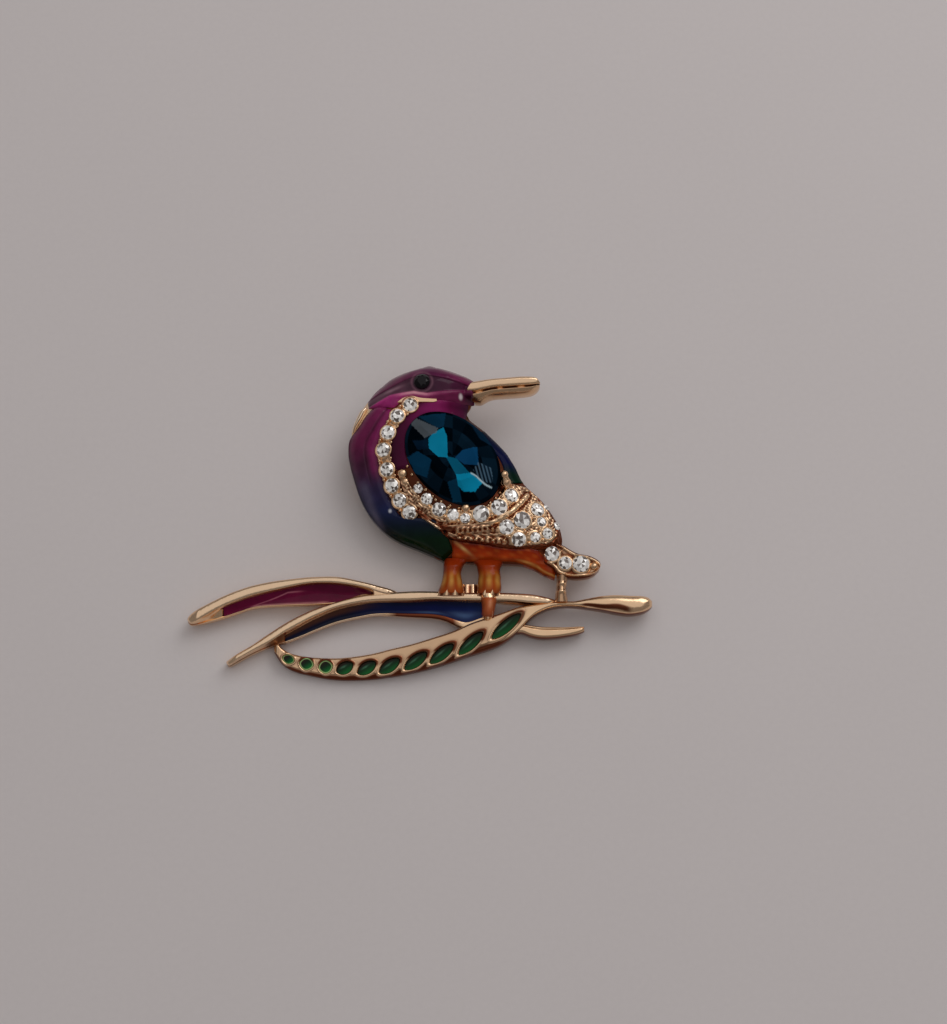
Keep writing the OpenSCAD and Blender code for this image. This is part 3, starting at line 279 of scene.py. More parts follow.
def steady(table, steps):
    """Rows on a curve that never swings past the table's rows: the slope at a row is the harmonic
    mean of the steps before and after it, or 0 where they differ in sign."""
    rows = np.asarray(table, float)
    last = len(rows) - 1
    step = np.diff(rows, axis=0)
    before, after = np.vstack([step[:1], step]), np.vstack([step, step[-1:]])
    same = before * after > 0
    slope = np.where(same, 2 * before * after / np.where(same, before + after, 1), 0)
    place = np.linspace(0, last, last * steps + 1)
    i = np.minimum(place.astype(int), last - 1)
    t = (place - i)[:, None]
    return (rows[i] * (2 * t**3 - 3 * t**2 + 1) + slope[i] * (t**3 - 2 * t**2 + t)
            + rows[i + 1] * (3 * t**2 - 2 * t**3) + slope[i + 1] * (t**3 - t**2))


print("points on the leaf's curve:", len(flowing(LEAF_UPPER)))


# %% Soft steps, humps and dots
def soft(value, start, end):
    """0 before start, 1 after end, and 3t^2 - 2t^3 between them."""
    t = np.clip((value - start) / (end - start), 0, 1)
    return t * t * (3 - 2 * t)


def span(value, rise, fall):
    """1 in the middle: a soft step up over the pair rise, times a soft step down over the pair fall."""
    return soft(value, *rise) * (1 - soft(value, *fall))


def hump(value, centre, width):
    """1 at the centre and near 0 from twice the width on: exp(-((value - centre) / width)^2)."""
    return np.exp(-(((value - centre) / width) ** 2))


def dot(x, y, centre, radii):
    """A spot with a short soft edge: exp(-r^4), where r is the distance measured in its radii."""
    r = np.hypot((x - centre[0]) / radii[0], (y - centre[1]) / radii[1])
    return np.exp(-(r**4))


print("half way up a soft step:", soft(0.5, 0, 1))

# %% [markdown]
# ## The dome of the bird
#
# Most of the bird is one low dome. Its height over a place is an arch across the body, from a
# low upright edge on the left to one on the right, so stones, enamel and wing can all be raised
# from the same function.

# %% Height of the dome
body_rows = steady(BODY, 10)


def dome(high, q):
    """EDGE plus (height - EDGE) times 1 - |q|^DOME_POWER, for q from -1 at the left to 1 at the
    right."""
    return EDGE + (np.maximum(high * BODY_RISE, EDGE) - EDGE) * (1 - np.abs(q) ** DOME_POWER)


def body_z(p):
    """Dome height over places in mm, with q from where x lies between the outline's two sides."""
    x, y = shares_of(p)
    left, right, high = (np.interp(y, body_rows[:, 0], body_rows[:, k]) for k in (1, 2, 3))
    return dome(high, np.clip(2 * (x - left) / (right - left) - 1, -1, 1))


def raised(p, z):
    """Places in mm with a height added as their third coordinate."""
    return np.concatenate([p, np.broadcast_to(z, p.shape[:-1])[..., None]], -1)


def strip(table, columns, steps):
    """Grid across a strip: a + (b - a) v, for v from 0 at the outer edge to 1 at the inner edge."""
    rows = flowing(table, steps)
    a, b = at(rows[:, 0], rows[:, 1]), at(rows[:, 2], rows[:, 3])
    v = np.linspace(0, 1, columns)
    return a[:, None] + (b - a)[:, None] * v[:, None], v


print("dome height at the middle, mm:", round(float(body_z(at(52, 70))), 2))

# %% [markdown]
# ## From arrays to closed meshes
#
# Every new surface is a grid of points or a row of rings. Three small functions give the faces:
# a slab between two grids, a relief on a flat floor, and a tube through rings. The sum of the
# volumes under the faces tells whether they point outwards, and turns them round if they don't.

# %% Faces of grids and rings
def quads(grid):
    """Four corners of each cell of a grid of point numbers."""
    return np.stack([grid[:-1, :-1], grid[:-1, 1:], grid[1:, 1:], grid[1:, :-1]], -1).reshape(-1, 4)


def rim(grid):
    """Point numbers round the edge of a grid, in the order of its faces."""
    return np.concatenate([grid[0, :-1], grid[:-1, -1], grid[-1, :0:-1], grid[:0:-1, 0]])


def slab(top, bottom):
    """Closed shell: the upper grid, the lower grid turned over, and a band of faces round the rim."""
    grid = np.arange(top[..., 0].size).reshape(top.shape[:2])
    edge = rim(grid)
    after, count = np.roll(edge, -1), grid.size
    band = np.stack([after, edge, edge + count, after + count], -1)
    return (np.concatenate([top.reshape(-1, 3), bottom.reshape(-1, 3)]),
            [quads(grid), quads(grid)[:, ::-1] + count, band])


def relief(top, floor):
    """Closed shell: a grid, a wall down from its rim to a height of floor, and one flat face below."""
    grid = np.arange(top[..., 0].size).reshape(top.shape[:2])
    edge = rim(grid)
    low = top.reshape(-1, 3)[edge].copy()
    low[:, 2] = floor
    number = grid.size + np.arange(len(edge))
    band = np.stack([np.roll(edge, -1), edge, number, np.roll(number, -1)], -1)
    return np.concatenate([top.reshape(-1, 3), low]), [quads(grid), band, number[None, ::-1]]


def tube(rings):
    """Closed shell through rings of equal size, with a flat face on the first and on the last."""
    count, sides = rings.shape[:2]
    grid = np.arange(count * sides).reshape(count, sides)
    closed = np.concatenate([grid, grid[:, :1]], 1)
    return rings.reshape(-1, 3), [quads(closed), grid[:1], grid[-1:, ::-1]]


print("shells: slab, relief, tube")


# %% Volume and joining
def volume(points, blocks):
    """Sum of a . (b x c) / 6 over the triangles of a fan on each face."""
    total = 0.0
    for block in blocks:
        for k in range(1, block.shape[1] - 1):
            a, b, c = points[block[:, 0]], points[block[:, k]], points[block[:, k + 1]]
            total += np.einsum("ij,ij->", a, np.cross(b, c)) / 6
    return total


def joined(*shells):
    """Several closed shells as one set of points and faces."""
    points, blocks, start = [], [], 0
    for p, b in shells:
        turn = -1 if volume(p, b) < 0 else 1
        points.append(p)
        blocks += [k[:, ::turn] + start for k in b]
        start += len(p)
    return np.concatenate(points), blocks


print("joining ready")


# %% Pieces
def piece(name, shell, material, slot, nodes, sharp, **attributes):
    """Mesh from a closed shell in mm, laid at rest, riding on the brooch and standing for its nodes.
    Edges sharper than sharp degrees stay edges, and each attribute holds one value or colour for
    every point, or for every face."""
    points, blocks = joined(shell)
    mesh = bpy.data.meshes.new(name)
    loops = np.concatenate([b.ravel() for b in blocks])
    sizes = np.concatenate([np.full(len(b), b.shape[1]) for b in blocks])
    mesh.vertices.add(len(points))
    mesh.vertices.foreach_set("co", lay(points).ravel())
    mesh.loops.add(len(loops))
    mesh.loops.foreach_set("vertex_index", loops)
    mesh.polygons.add(len(sizes))
    mesh.polygons.foreach_set("loop_start", np.cumsum(sizes) - sizes)
    mesh.update(calc_edges=True)
    mesh.validate()
    mesh.shade_smooth()
    mesh.set_sharp_from_angle(angle=math.radians(sharp))
    for key, values in attributes.items():
        values = np.asarray(values, float)
        where = "FACE" if len(values) == len(sizes) != len(points) else "POINT"
        if values.ndim == 2:
            layer = mesh.attributes.new(key, "FLOAT_COLOR", where)
            layer.data.foreach_set("color", np.column_stack([values, np.ones(len(values))]).ravel())
        else:
            mesh.attributes.new(key, "FLOAT", where).data.foreach_set("value", values)
    mesh.materials.append(material)
    obj = bpy.data.objects.new(name, mesh)
    bpy.context.collection.objects.link(obj)
    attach(obj, "root")
    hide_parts(*nodes)
    print(name, len(sizes), "faces")
    return obj


print("pieces ready")

# %% [markdown]
# ## Camera and light
#
# The brooch was photographed from above and a little from its lower side, lying on pale paper.
# The camera stands at that angle, about 72 degrees up, with a lens that keeps the same width in
# the frame. Soft light comes from above and from the upper right, as from a window and a ceiling.

# %% Camera
# FAR and LOOK_HEIGHT are in metres, and one pixel of the photo spans PIXEL metres. LOOK_OFF says
# how far right of the brooch's middle and above it the picture's middle is, in pixels.
ELEVATION = math.radians(72.4)
FAR = 0.28
PIXEL = 0.001 / 8
PICTURE_HIGH = 1024
LOOK_OFF = (53.3, 9.9)
LOOK_HEIGHT = 0.003
SENSOR = 24
back = np.array([0, -math.cos(ELEVATION), math.sin(ELEVATION)])
up = np.array([0, math.sin(ELEVATION), math.cos(ELEVATION)])
aim = np.array([LOOK_OFF[0] * PIXEL, 0, LOOK_HEIGHT]) + up * LOOK_OFF[1] * PIXEL
camera = bpy.data.objects.new("camera", bpy.data.cameras.new("camera"))
bpy.context.collection.objects.link(camera)
camera.location = aim + back * FAR
camera.rotation_euler = (math.pi / 2 - ELEVATION, 0, 0)
camera.data.sensor_fit = "VERTICAL"
camera.data.sensor_height = SENSOR
camera.data.lens = SENSOR * FAR / (PICTURE_HIGH * PIXEL)
camera.data.clip_start = 0.01
bpy.context.scene.camera = camera
print("lens, mm:", round(camera.data.lens, 1))


# %% Colours
def screen(red, green, blue):
    """Colour read from a screen, 0 to 255, as linear light: ((c + 0.055) / 1.055) ^ 2.4."""
    c = (np.array([red, green, blue]) / 255 + 0.055) / 1.055
    return c**2.4


def paint(red, green, blue):
    """The same colour as four numbers for a shader socket."""
    return (*screen(red, green, blue), 1.0)


print("middle grey in linear light:", screen(128, 128, 128).round(3))


# %% Lights
def lamp(name, place, size, watts, tint):
    """Square area light of that size in metres, turned to face the brooch."""
    data = bpy.data.lights.new(name, "AREA")
    data.size, data.energy, data.color = size, watts, tint
    lamp_object = bpy.data.objects.new(name, data)
    lamp_object.location = place
    direction = np.array(place) / np.linalg.norm(place)
    lamp_object.rotation_euler = (math.acos(direction[2]), 0,
                                  math.atan2(direction[1], direction[0]) + math.pi / 2)
    bpy.context.collection.objects.link(lamp_object)
    return lamp_object


lamp("window", (0.30, 0.35, 0.36), 0.42, 0.85, (1.0, 0.98, 0.97))
lamp("ceiling", (0.05, 0.25, 0.9), 1.6, 3.25, (1.0, 0.98, 0.98))
world = bpy.data.worlds.new("room")
world.use_nodes = True
room = world.node_tree.nodes["Background"].inputs
room["Color"].default_value = (0.62, 0.58, 0.56, 1)
room["Strength"].default_value = 0.3
bpy.context.scene.world = world
bpy.context.scene.view_settings.view_transform = "Standard"

# %% [markdown]
# ## Shader maths in ordinary signs
#
# A material is a graph of nodes. A small class wraps one output socket, so that noise * 0.2 + 0.3
# makes the two Math nodes by itself, and one method feeds a value into any other node.


# %% Wires between nodes
def plug(socket, value):
    """Links a wire to an input, or sets the input's own number or colour."""
    if isinstance(value, Wire):
        socket.id_data.links.new(value.socket, socket)
    else:
        socket.default_value = value


class Wire:
    """One output socket. Adding, subtracting or multiplying wires makes a Math node each time."""

    def __init__(self, socket):
        self.socket = socket

    def into(self, kind, settings, inputs, out=0):
        """Makes a node of any kind with these settings and inputs and returns one of its outputs."""
        node = self.socket.id_data.nodes.new(kind)
        for key, value in settings.items():
            setattr(node, key, value)
        for key, value in inputs.items():
            plug(node.inputs[key], value)
        return Wire(node.outputs[out])

    def maths(self, operation, a, b=0.0):
        """One Math node on two values, each a wire or a number."""
        return self.into("ShaderNodeMath", {"operation": operation}, {0: a, 1: b})

    def __add__(self, other):
        return self.maths("ADD", self, other)

    def __sub__(self, other):
        return self.maths("SUBTRACT", self, other)

    def __mul__(self, other):
        return self.maths("MULTIPLY", self, other)

    def __radd__(self, other):
        return self.maths("ADD", other, self)

    def __rsub__(self, other):
        return self.maths("SUBTRACT", other, self)

    def __rmul__(self, other):
        return self.maths("MULTIPLY", other, self)

    def between(self, start, end):
        """0 below start, 1 above end, clamped."""
        return self.into("ShaderNodeMapRange", {}, {"Value": self, "From Min": start, "From Max": end})

    def colours(self, low, high, mode="MIX"):
        """Colour mixed from low to high by this wire."""
        return self.into("ShaderNodeMix", {"data_type": "RGBA", "blend_type": mode, "clamp_factor": True},
                         {0: self, 6: low, 7: high}, out=2)


print("operators of a wire:", [name for name in vars(Wire) if name.startswith("__r")])


# %% Materials, noise and kept values
def new_material(name, **constants):
    """Material with one Principled shader. Returns it, the shader's inputs and a wire of its places."""
    material = bpy.data.materials.new(name)
    material.use_nodes = True
    tree = material.node_tree
    shader = tree.nodes["Principled BSDF"]
    for key, value in constants.items():
        shader.inputs[key.replace("_", " ")].default_value = value
    places = Wire(tree.nodes.new("ShaderNodeTexCoord").outputs["Object"])
    return material, shader.inputs, places


def speckle(places, scale, detail):
    """Noise of that scale, in waves per metre, over the object's own places."""
    return places.into("ShaderNodeTexNoise", {}, {"Vector": places, "Scale": scale, "Detail": detail})


def stored(places, name, out="Fac"):
    """Values that a mesh keeps under this name."""
    return places.into("ShaderNodeAttribute", {"attribute_name": name}, {}, out)


def bumped(inputs, height, depth, strength):
    """Normal from a height of 0 to 1 that stands for depth in metres."""
    plug(inputs["Normal"], height.into("ShaderNodeBump", {},
                                       {"Height": height, "Distance": depth, "Strength": strength}))


print("shader helpers ready")

# %% [markdown]
# ## Gold plate
#
# The metal is a thin rosy gold over a casting. Light and shade are painted into its colour: it is
# paler on the rims as a painted highlight and brown in the hollows and on sides turned from the
# light as painted shade. Each gold mesh keeps one value per point for this, 0 on open faces, 1
# deep down, 2 where hardly any light gets in and -1 on the palest rims. The shader mixes four golds
# by it and by a little noise.

# %% Gold material
gold, gold_inputs, gold_places = new_material("gold_plate", Metallic=1.0)
cloud = speckle(gold_places, 420, 3)
grain = speckle(gold_places, 2600, 2)
depth = stored(gold_places, "hollow")
# share of the gold of painted shade; the paler gold below is a painted highlight on rims
shade_mix = (depth * 1.15 + (cloud - 0.5) * 0.3).between(0.05, 0.95)
rim_highlight = (depth * -1.0).between(0.0, 1.0)
light_gold = cloud.colours(paint(245, 203, 162), paint(253, 219, 179))
light_gold = rim_highlight.colours(light_gold, paint(250, 230, 206))
shadowed = (depth - 1.0).between(0.0, 1.0).colours(paint(118, 62, 40), paint(38, 22, 17))
plug(gold_inputs["Base Color"], shade_mix.colours(light_gold, shadowed))
plug(gold_inputs["Roughness"], cloud * 0.12 + 0.16 + shade_mix * 0.12)
bumped(gold_inputs, grain + speckle(gold_places, 900, 2) * 1.5, 0.000012, 0.5)
print("gold nodes:", len(gold.node_tree.nodes))

# %% [markdown]
# ## Cast pieces
#
# On the real brooch all the gold is one casting. Here it is made as one closed mesh for each of
# its forms, because a grid follows a wing or a leg far better than one big mesh would, and all of
# them stand for the same solid. The painted shade is measured on the grid itself: a point that
# lies below its neighbours is in a hollow and is painted darker there.

# %% Hollows and cast pieces
# painted shade on the walls of a cast piece
WALL_SHADE = 0.5


def hollows(top, reach, full):
    """How far each point of a grid lies below the mean of its neighbours within reach cells, as a
    share of full mm, from 0 to 1, which is used as painted shade. Running sums give the mean, first
    down and then across."""
    z = np.pad(top[..., 2], reach, mode="edge")
    count = 2 * reach + 1
    total = np.cumsum(np.pad(z, ((1, 0), (0, 0))), 0)
    total = (total[count:] - total[:-count]) / count
    total = np.cumsum(np.pad(total, ((0, 0), (1, 0))), 1)
    mean = (total[:, count:] - total[:, :-count]) / count
    return np.clip((mean - top[..., 2]) / full, 0, 1)


def cast(name, shell, hollow, sharp=50):
    """A gold piece of the casting, with values of painted light and shade for its first points, or one
    value for all of it. Points after those, such as the foot of a wall, get a set painted shade."""
    one_value = np.ndim(hollow) == 0
    dark = np.full(len(shell[0]), float(hollow) if one_value else WALL_SHADE)
    if not one_value:
        dark[: hollow.size] = hollow.ravel()
    return piece(name, shell, gold, "gold_plate", ["casting"], sharp=sharp, hollow=dark)


print("cast pieces ready")

# %% [markdown]
# ## The shell of the body
#
# On the real brooch the bird is a hollow casting: a dome in front and a scooped-out back. A grid
# whose rows run across the body gives both sides. Columns crowd together near the edges, where
# the dome turns down, so the outline stays round.

# %% Body shell
# Where the back is scooped out, as y in hundredths, and the least height of its ceiling in mm.
SCOOP_RISE = (42, 46)
SCOOP_FALL = (91, 95)
LEAST_CEILING = 0.2
across = np.sin(np.linspace(-1, 1, 61) * math.pi / 2)
left, right, high = (body_rows[:, k][:, None] for k in (1, 2, 3))
body_places = at(left + (right - left) * (across + 1) / 2, body_rows[:, :1] + 0 * across)
body_top = raised(body_places, dome(high, across[None]))
body_x = body_places[..., 0]
inset = np.minimum(body_x - body_x[:, :1], body_x[:, -1:] - body_x)
x_share, y_share = shares_of(body_places)
inside = soft(inset, WALL, 1.5 * WALL) * span(y_share, SCOOP_RISE, SCOOP_FALL)
back_z = np.maximum(body_top[..., 2] - WALL, LEAST_CEILING) * inside
at_nape = (1 - soft(x_share, 40.5, 41.5)) * soft(y_share, 76, 79)
near_gem = 1 - soft(np.linalg.norm(body_places - at(*GEM), axis=-1), 6.5, 8.5)
# painted shade on the body's sides and round the big stone, painted highlight on the nape's crescent
body_hollow = 1 - 1.4 * at_nape + 0.6 * near_gem
cast("body_shell", slab(body_top, raised(body_places, back_z)), body_hollow, sharp=60)

# %% [markdown]
# ## The wing
#
# The wing is a raised plate set with clear stones. Wire-like ridges part its feathers, two rows
# of small beads run along the lower ones, and every stone sits in a round seat with a thin rim.
# All of it is height added to one fine grid: a sum of arches, rings and bowls, each a function
# of the distance to a line or to a centre.


# %% Wires and seats on a grid
def away_from(p, x, y):
    """Distance in mm of places p from the place at x and y in hundredths."""
    return np.linalg.norm(p - at(x, y), axis=-1)


def gap_to(p, stones):
    """Distance in mm of places p from the edge of the nearest stone."""
    return np.min([away_from(p, x, y) - d / 2 for x, y, d in stones], axis=0)


def near_path(p, path):
    """Shortest distance from places p to a line through path, and the share of the way along it."""
    best, along = np.full(p.shape[:-1], 1e9), np.zeros(p.shape[:-1])
    for k, (a, b) in enumerate(zip(path[:-1], path[1:])):
        t = np.clip(((p - a) @ (b - a)) / ((b - a) @ (b - a)), 0, 1)
        d = np.linalg.norm(p - a - t[..., None] * (b - a), axis=-1)
        along = np.where(d < best, (k + t) / (len(path) - 1), along)
        best = np.minimum(best, d)
    return best, along


def arch(distance, half):
    """Round wire of that half width: its height where the distance is less than half, else 0."""
    return np.sqrt(np.clip(half**2 - distance**2, 0, None))


def seats(p, stones, deep=0.32, rim_high=0.09):
    """Bowls for stones: down by deep inside each radius, and a ring of rim_high just outside it."""
    z = np.zeros(p.shape[:-1])
    for x, y, d in stones:
        away = away_from(p, x, y)
        z -= deep * (1 - soft(away, 0.36 * d, 0.5 * d + 0.04))
        z += rim_high * hump(away, 0.5 * d + 0.12, 0.09)
    return z


print("height of a wire 0.6 mm thick at its middle:", arch(0.0, 0.3))

# %% Wing: plate and ridges
# The two last stones of the field stand on the wing's edge, past the plate, and have no seat.
SEATED = ARC + FIELD[:7]
RIDGE_HALF = 0.34
CURL_HALF = 0.3
RIPPLES = 70
wing_places, wing_v = strip(WING, 120, 24)
wing_v = wing_v[None]
wing_u = np.linspace(0, 1, len(wing_places))[:, None]
edge_fall = soft(np.minimum(wing_v, 1 - wing_v), 0, 0.05) * soft(np.minimum(wing_u, 1 - wing_u), 0, 0.02)
wing_z = body_z(wing_places) + WING_LIFT * (0.4 + 0.6 * edge_fall) + seats(wing_places, SEATED)
ridge_d, ridge_s = near_path(wing_places, at(*flowing(RIDGE_ARC, 8).T))
curl_d, curl_s = near_path(wing_places, at(*flowing(RIDGE_CURL, 8).T))
ridge_left = 1 - soft(ridge_s, 0.42, 0.6)
twist = 0.8 + 0.2 * np.cos(ridge_s * RIPPLES)
wing_z += arch(ridge_d, RIDGE_HALF) * (1.1 - 0.5 * ridge_left) * twist
wing_z += arch(curl_d, CURL_HALF)
wing_z -= 0.18 * hump(ridge_d, RIDGE_HALF + 0.16, 0.16) + 0.14 * hump(curl_d, CURL_HALF + 0.12, 0.14)
print("points of the wing:", wing_z.size)

# %% Wing: rows of beads
# Each row: x at its left and right end, y at its left and right end, number of beads.
BEAD_ROWS = [(58.2, 67.8, 46.1, 46.9, 9), (58.6, 68.2, 43.6, 43.0, 8)]
BEAD_HIGH = 0.3
bead_rows = 0 * wing_z
for x_left, x_right, y_left, y_right, number in BEAD_ROWS:
    row = at(np.linspace(x_left, x_right, 14), np.linspace(y_left, y_right, 14))
    row_d, row_s = near_path(wing_places, row)
    bead = 0.5 + 0.5 * np.cos(row_s * 2 * number * math.pi)
    wing_z += (0.06 + BEAD_HIGH * bead) * hump(row_d, 0, 0.27) - 0.1 * hump(row_d, 0.5, 0.14)
    bead_rows = bead_rows + bead * hump(row_d, 0, 0.24)
print("beads on the wing:", sum(row[-1] for row in BEAD_ROWS))


# %% Wing: feathers and rough gold
def from_stone_edge(p):
    """Distance in mm, roughly, from the big stone's outline: (r - 1) times half its width, where r
    is the distance from its centre measured in halves of its length and width."""
    x, y = np.moveaxis(p - at(*GEM), -1, 0)
    along = x * math.cos(GEM_TURN) + y * math.sin(GEM_TURN)
    over = y * math.cos(GEM_TURN) - x * math.sin(GEM_TURN)
    return (np.hypot(along / GEM_LONG, over / GEM_WIDE) * 2 - 1) * GEM_WIDE / 2


from_gem = from_stone_edge(wing_places)
wing_x, wing_y = np.moveaxis(wing_places, -1, 0)
feather = np.sin(wing_x * 5.2 + 2.2 * np.sin(wing_y * 3.1)) * np.sin(wing_y * 6.3)
low_part = soft(wing_v, 0.55, 0.7) * (1 - soft(wing_u, 0.55, 0.68))
open_part = soft(gap_to(wing_places, SEATED), 0.2, 0.4) * soft(np.minimum(ridge_d, curl_d), 0.3, 0.5)
open_part = open_part * (1 - low_part)
nubs = (np.sin(wing_x * 9.1 + 1.7 * np.sin(wing_y * 4.3))
        * np.sin(wing_y * 8.7 + 1.3 * np.sin(wing_x * 5.1)))
wing_z += 0.09 * feather * low_part + 0.07 * nubs * open_part - 0.4 * (1 - soft(from_gem, 0.2, 0.5))
print("share of the wing that is rough gold:", round(float(open_part.mean()), 2))

# %% Wing: painted light and shade on the gold
wing_top = raised(wing_places, wing_z)
bright_curl = hump(curl_d, 0, 0.26) * (1 - soft(curl_s, 0.6, 0.75))
# painted shade in hollows, along the lower edge, on the left ridge and beside the big stone; darker gold on
# the lower feathers and rough gold; a painted highlight on the curl
wing_dark = hollows(wing_top, 5, 0.16) + soft(wing_v, 0.9, 0.96) + 0.5 * ridge_left * hump(ridge_d, 0, 0.4)
wing_dark = wing_dark + 0.45 * low_part * (1 - bead_rows) + 0.35 * open_part * (1 - nubs)
wing_dark = np.clip(wing_dark, 0, 1) * (1 - bright_curl) - 0.5 * bright_curl
wing_dark = wing_dark + 0.7 * (1 - soft(from_gem, 0.25, 0.5))
cast("wing_plate", relief(wing_top, floor=1.0), wing_dark, sharp=70)

# %% [markdown]
# ## The collar
#
# The collar is a curved channel for eight stones, with a thin lip that runs off to the right over
# the big stone. Its rim follows the stones in small scallops, so its height depends on the
# distance to the nearest stone, and a lower web of gold joins one seat to the next.


# %% Collar
# Ends of the channel before the first and after the last stone: x, y, share of its full width.
COLLAR_LIP = [[53.6, 87.6, 0.1], [50.8, 87.0, 0.35]]
COLLAR_FOOT = [[49.4, 49.8, 0.5]]
COLLAR_HALF = 1.3


def path_grid(path, half, columns):
    """Grid along a line in mm: centre + side * half * v, with v from -1 to 1 across the line."""
    way = np.gradient(path, axis=0)
    way /= np.linalg.norm(way, axis=1)[:, None]
    side = np.stack([way[:, 1], -way[:, 0]], -1)
    v = np.linspace(-1, 1, columns)
    return path[:, None] + side[:, None] * (half[:, None] * v)[..., None], v


collar_line = flowing(COLLAR_LIP + [[x, y, 1] for x, y, _ in COLLAR] + COLLAR_FOOT, 26)
collar_half = COLLAR_HALF * np.clip(collar_line[:, 2], 0.1, 1)
collar_places, collar_v = path_grid(at(collar_line[:, 0], collar_line[:, 1]), collar_half, 48)
nearest = np.min([away_from(collar_places, x, y) for x, y, _ in COLLAR], axis=0)
in_channel = (1 - soft(np.abs(collar_v) * COLLAR_HALF, 0.72, 0.98)) * soft(collar_line[:, 2:], 0.75, 1)
on_seat = np.maximum(1 - soft(nearest, 1.05, 1.3), 0.85 * in_channel)
lip = soft(collar_places[..., 1], at(0, 86.2)[1], at(0, 87)[1])
between_seats = (1 - soft(np.abs(collar_v), 0.4, 0.6)) * soft(nearest, 0.9, 1.0)
collar_z = body_z(collar_places) + (COLLAR_LIFT + 0.1) * np.maximum(on_seat, 0.75 * lip)
collar_z -= (0.15 * (1 - on_seat) + 0.08 * between_seats) * (1 - lip)
collar_z += seats(collar_places, COLLAR, deep=0.34, rim_high=0.1)
collar_top = raised(collar_places, collar_z)
# the channel's hollows are painted darker as shade
cast("collar_channel", relief(collar_top, floor=1.0), 0.55 * hollows(collar_top, 4, 0.14), sharp=70)

# %% [markdown]
# ## Tail and nape
#
# The tail is a flat plate with three seats and a rounded wire round its edge, so the same sum of
# wires and seats makes it. The nape has a thin crescent that holds one stone seen edge on. It is a
# bar with a round profile, carried along a line, and the legs and the beak are made so too.

# %% Tail
TAIL_DIP = 0.55
TAIL_WIRE = 0.28
tail_places, tail_v = strip(TAIL, 60, 24)
tail_u = np.linspace(0, 1, len(tail_places))[:, None]
from_side = np.minimum(tail_v, 1 - tail_v)[None]
tail_wide = np.linalg.norm(tail_places[:, -1:] - tail_places[:, :1], axis=-1)
tail_in = np.minimum(from_side * tail_wide, (1 - tail_u) * 9)
tail_wire = hump(tail_in, TAIL_WIRE, 0.16)
tail_gap = gap_to(tail_places, TAIL_STONES)
tail_z = TAIL_RISE - TAIL_DIP + 0.2 * soft(from_side, 0, 0.1) * (1 - soft(tail_u, 0.97, 1))
tail_z = tail_z + 0.2 * (1 - soft(tail_gap, 0.2, 0.5)) + seats(tail_places, TAIL_STONES)
tail_z += 0.22 * tail_wire - 1.2 * (1 - soft(tail_u, 0.05, 0.22))
tail_top = raised(tail_places, tail_z)
# painted shade in the plate's hollows, and darker gold on the open plate away from stones and wire
tail_dark = hollows(tail_top, 5, 0.16) + 0.4 * soft(tail_gap, 0.15, 0.3) * (1 - tail_wire)
cast("tail_plate", relief(tail_top, floor=0.0), np.clip(tail_dark, 0, 1), sharp=70)


# %% Bars and the crescent at the nape
def bar_between(start, end, high, profile):
    """Rings of a bar between two lines of places: a profile of (share across, share up), stretched
    from start to end and multiplied by the height at each place."""
    shape = np.asarray(profile, float)
    plane = start[:, None] + (end - start)[:, None] * shape[:, :1]
    return raised(plane, high[:, None] * shape[:, 1])


def bar_rings(rows, high, profile):
    """Rings of a bar along x, from rows of x, lower y, upper y and share of its height."""
    return bar_between(at(rows[:, 0], rows[:, 1]), at(rows[:, 0], rows[:, 2]), rows[:, 3] * high, profile)


def leg_rings(rows, high, profile):
    """Rings of a bar along y, from rows of y, left x, right x and share of its height."""
    return bar_between(at(rows[:, 1], rows[:, 0]), at(rows[:, 2], rows[:, 0]), rows[:, 3] * high, profile)


turn = np.linspace(0, math.pi, 21)
half_round = np.column_stack([0.5 - 0.5 * np.cos(turn), 0.55 + 0.45 * np.sin(turn)])
ROUND_BAR = np.vstack([[0, 0], half_round, [1, 0]])
# the crescent is painted pale all over, a painted highlight
cast("nape_crescent", tube(leg_rings(flowing(NAPE_BAND, 10), LEG_RISE, ROUND_BAR)), hollow=-0.8)

# %% [markdown]
# ## Beak, legs and feet
#
# The beak is a straight bar with a flat upper side and a groove along its middle, so its profile
# is a short table carried along a line. The legs are round bars, and the feet below them are
# fluted into toes.

# %% Beak
# Share of the beak's width, going up from its lower side, and share of its height.
BEAK_PROFILE = flowing([
    [0, 0.1], [0.0, 0.42], [0.05, 0.57], [0.18, 0.72], [0.34, 0.83], [0.4, 0.8], [0.43, 0.76],
    [0.47, 0.84], [0.52, 0.95], [0.7, 0.99], [0.86, 0.98], [0.96, 0.88], [1.0, 0.66], [1.0, 0.1]], 5)
# Three painted glints along the groove's painted shade: x and half length of each, in hundredths.
GLINT_X = [62.8, 67.4, 72.0]
GLINT_HALF = [0.7, 0.5, 0.7]
GROOVE_DARKEST = 0.9
beak_rows = flowing(BEAK, 16)
beak_x = beak_rows[:, :1]
beak_rings = bar_rings(beak_rows, BEAK_RISE, BEAK_PROFILE)
beak_across, beak_up = BEAK_PROFILE.T
root = np.clip(1 - beak_across / 0.45, 0, 1) ** 2 + 0.75 * np.clip(beak_across * 2 - 1, 0, 1) ** 1.5
beak_rings[..., 0] += root * (1 - soft(beak_x, 60.2, 66))
groove = hump(beak_across, 0.43, 0.035) * (beak_up > 0.3)
glints = hump(beak_x, GLINT_X, GLINT_HALF).sum(1)[:, None]
# painted shade in the groove and on the lower side, painted glints in the groove, and a painted highlight on
# the upper face
beak_dark = groove * (1 - 1.9 * glints) + 0.2 * (beak_across < 0.4) - 0.15 * (beak_across > 0.6)
cast("beak", tube(beak_rings), np.minimum(beak_dark, GROOVE_DARKEST), sharp=65)


